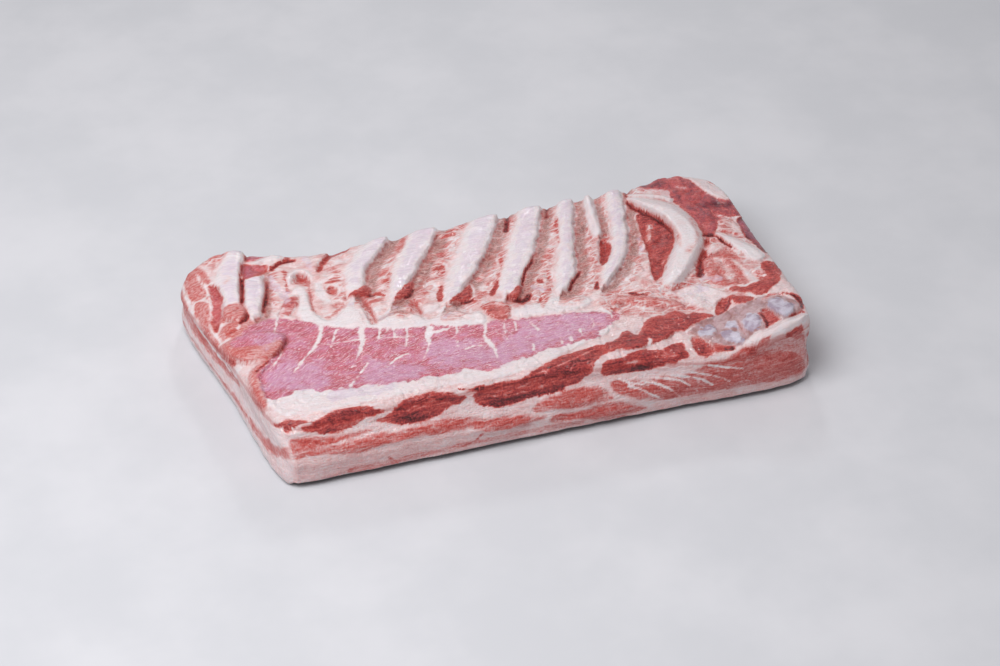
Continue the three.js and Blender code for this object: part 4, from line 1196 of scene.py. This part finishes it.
def silverskin_colour(pattern, thick):
    """The big muscle under its silverskin, veiled where the film is thick."""
    silver = cover(ramp(pattern.muscle_fibre, 0.33, 0.64), "muscle", "pale muscle")
    silver = cover(ramp(pattern.cloud, 0.4, 0.65, 0, 0.7), silver, "flush")
    veil = ramp(thick, 0.0, 1.1) * ramp(pattern.muscle_fibre, 0.3, 0.62, 0.3, 1.0)
    silver = cover(veil, silver, "veil")
    # Short pale flecks along the fibres, partly fat and partly painted glints.
    return cover(ramp(pattern.flecks_and_glints, 0.55, 0.61, 0, 0.85), silver, "fleck_and_glint")


def gristle_colour(field, pattern):
    """Bloody cartilage, pearly where film lies on it."""
    gristle = cover(ramp(pattern.cloud, 0.35, 0.65), "gristle", "pale gristle")
    pearly = cover(ramp(pattern.cloud, 0.35, 0.6), "grey pearl", "pearl")
    return cover(ramp(field.film, 0.1, 0.9), gristle, pearly)


def surface_colour(field, pattern):
    base = meat_colour(field, pattern)
    thick = field.film + (pattern.cloud - 0.5) * 2.0
    lavender = ramp(thick, 0.2, 1.1) * ramp(pattern.along_slab, 0.35, 0.6, 0.2, 0.7)
    base = cover(lavender * ramp(field.film, 0, 0.3), base, "lavender")
    base = cover(field.silver, base, silverskin_colour(pattern, thick))
    base = cover(field.gristle, base, gristle_colour(field, pattern))
    # The skin band at the foot is painted near-black: painted contact shadow under the slab's edge.
    base = cover(ramp(field.skin, -1.0, 1.5), base, "skin")
    # Sunk places are darkened and reddened by multiplying: painted shade in recesses.
    recess_shaded = cover(1.0, base, "recess_shade", blend_type="MULTIPLY")
    return cover(ramp(field.hollow, 0.2, 2.4, 0, 0.6), base, recess_shaded)


def meat_material():
    material, tree, shader = new_material("raw_pork")
    attributes = {name: put(tree, "Attribute", {}, output="Fac", attribute_name=name) for name in FIELDS}
    field = SimpleNamespace(**attributes)
    pattern = meat_patterns(tree, field)
    height = pattern.fibre * 0.7 + pattern.crumb * 0.8 + pattern.fine * 0.35 + pattern.cloud * 0.9
    bump = {"Height": height, "Strength": 0.9, "Distance": 0.0016}
    wet_bump = {"Height": pattern.wet, "Strength": 1.0, "Distance": 0.0013}
    plug(shader, {
        "Base Color": surface_colour(field, pattern),
        "Roughness": ramp(pattern.crumb, 0.3, 0.7, 0.45, 0.65),
        "Normal": put(tree, "Bump", bump, output="Normal"),
        "Coat Normal": put(tree, "Bump", wet_bump, output="Normal"),
        **MEAT_FINISH,
    })
    return material


def floor_material():
    material, tree, shader = new_material("pale_floor")
    place = put(tree, "TexCoord", {}, output="Object")
    mottle = put(tree, "TexNoise", {"Vector": place, "Scale": 7.0, "Detail": 4.0, "Roughness": 0.6})
    plug(shader, {"Base Color": cover(ramp(mottle, 0.35, 0.7), "floor", "pale floor"), "Roughness": 0.75})
    return material


# ---- Scene ----


def add_floor():
    mesh = bpy.data.meshes.new("floor")
    signs = [(-1, -1), (1, -1), (1, 1), (-1, 1)]
    mesh.from_pydata([(FLOOR_HALF * x, FLOOR_HALF * y, 0) for x, y in signs], [], [(0, 1, 2, 3)])
    floor = add_object("floor", mesh)
    floor.location.z = -FLOOR_GAP
    floor.data.materials.append(floor_material())


def add_camera():
    data = bpy.data.cameras.new("camera")
    data.lens = FOCAL_LENGTH
    camera = add_object("camera", data)
    camera.location = ((EYE[0] - MIDDLE[0]) / MM, (EYE[1] - MIDDLE[1]) / MM, EYE[2] / MM)
    camera.rotation_euler = (math.radians(90 - LOOK_DOWN), 0, -math.radians(LOOK_ASIDE))
    bpy.context.scene.camera = camera


def add_light(name, place, size, power):
    """A square light that faces the slab."""
    data = bpy.data.lights.new(name, "AREA")
    data.size = size
    data.energy = power
    light = add_object(name, data)
    light.location = place
    x, y, z = place
    light.rotation_euler = (math.atan2(math.hypot(x, y), z), 0, math.atan2(-y, -x) - math.pi / 2)


def add_world():
    world = bpy.data.worlds.new("studio")
    world.use_nodes = True
    plug(world.node_tree.nodes["Background"], {"Color": WORLD_COLOUR, "Strength": WORLD_STRENGTH})
    bpy.context.scene.world = world
    bpy.context.scene.view_settings.view_transform = "Standard"


slab = slab_object(*build_slab())
slab.data.materials.append(meat_material())
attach(slab, "root")
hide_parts("belly_slab")

add_floor()
add_camera()
add_world()
for light in LIGHTS:
    add_light(*light)
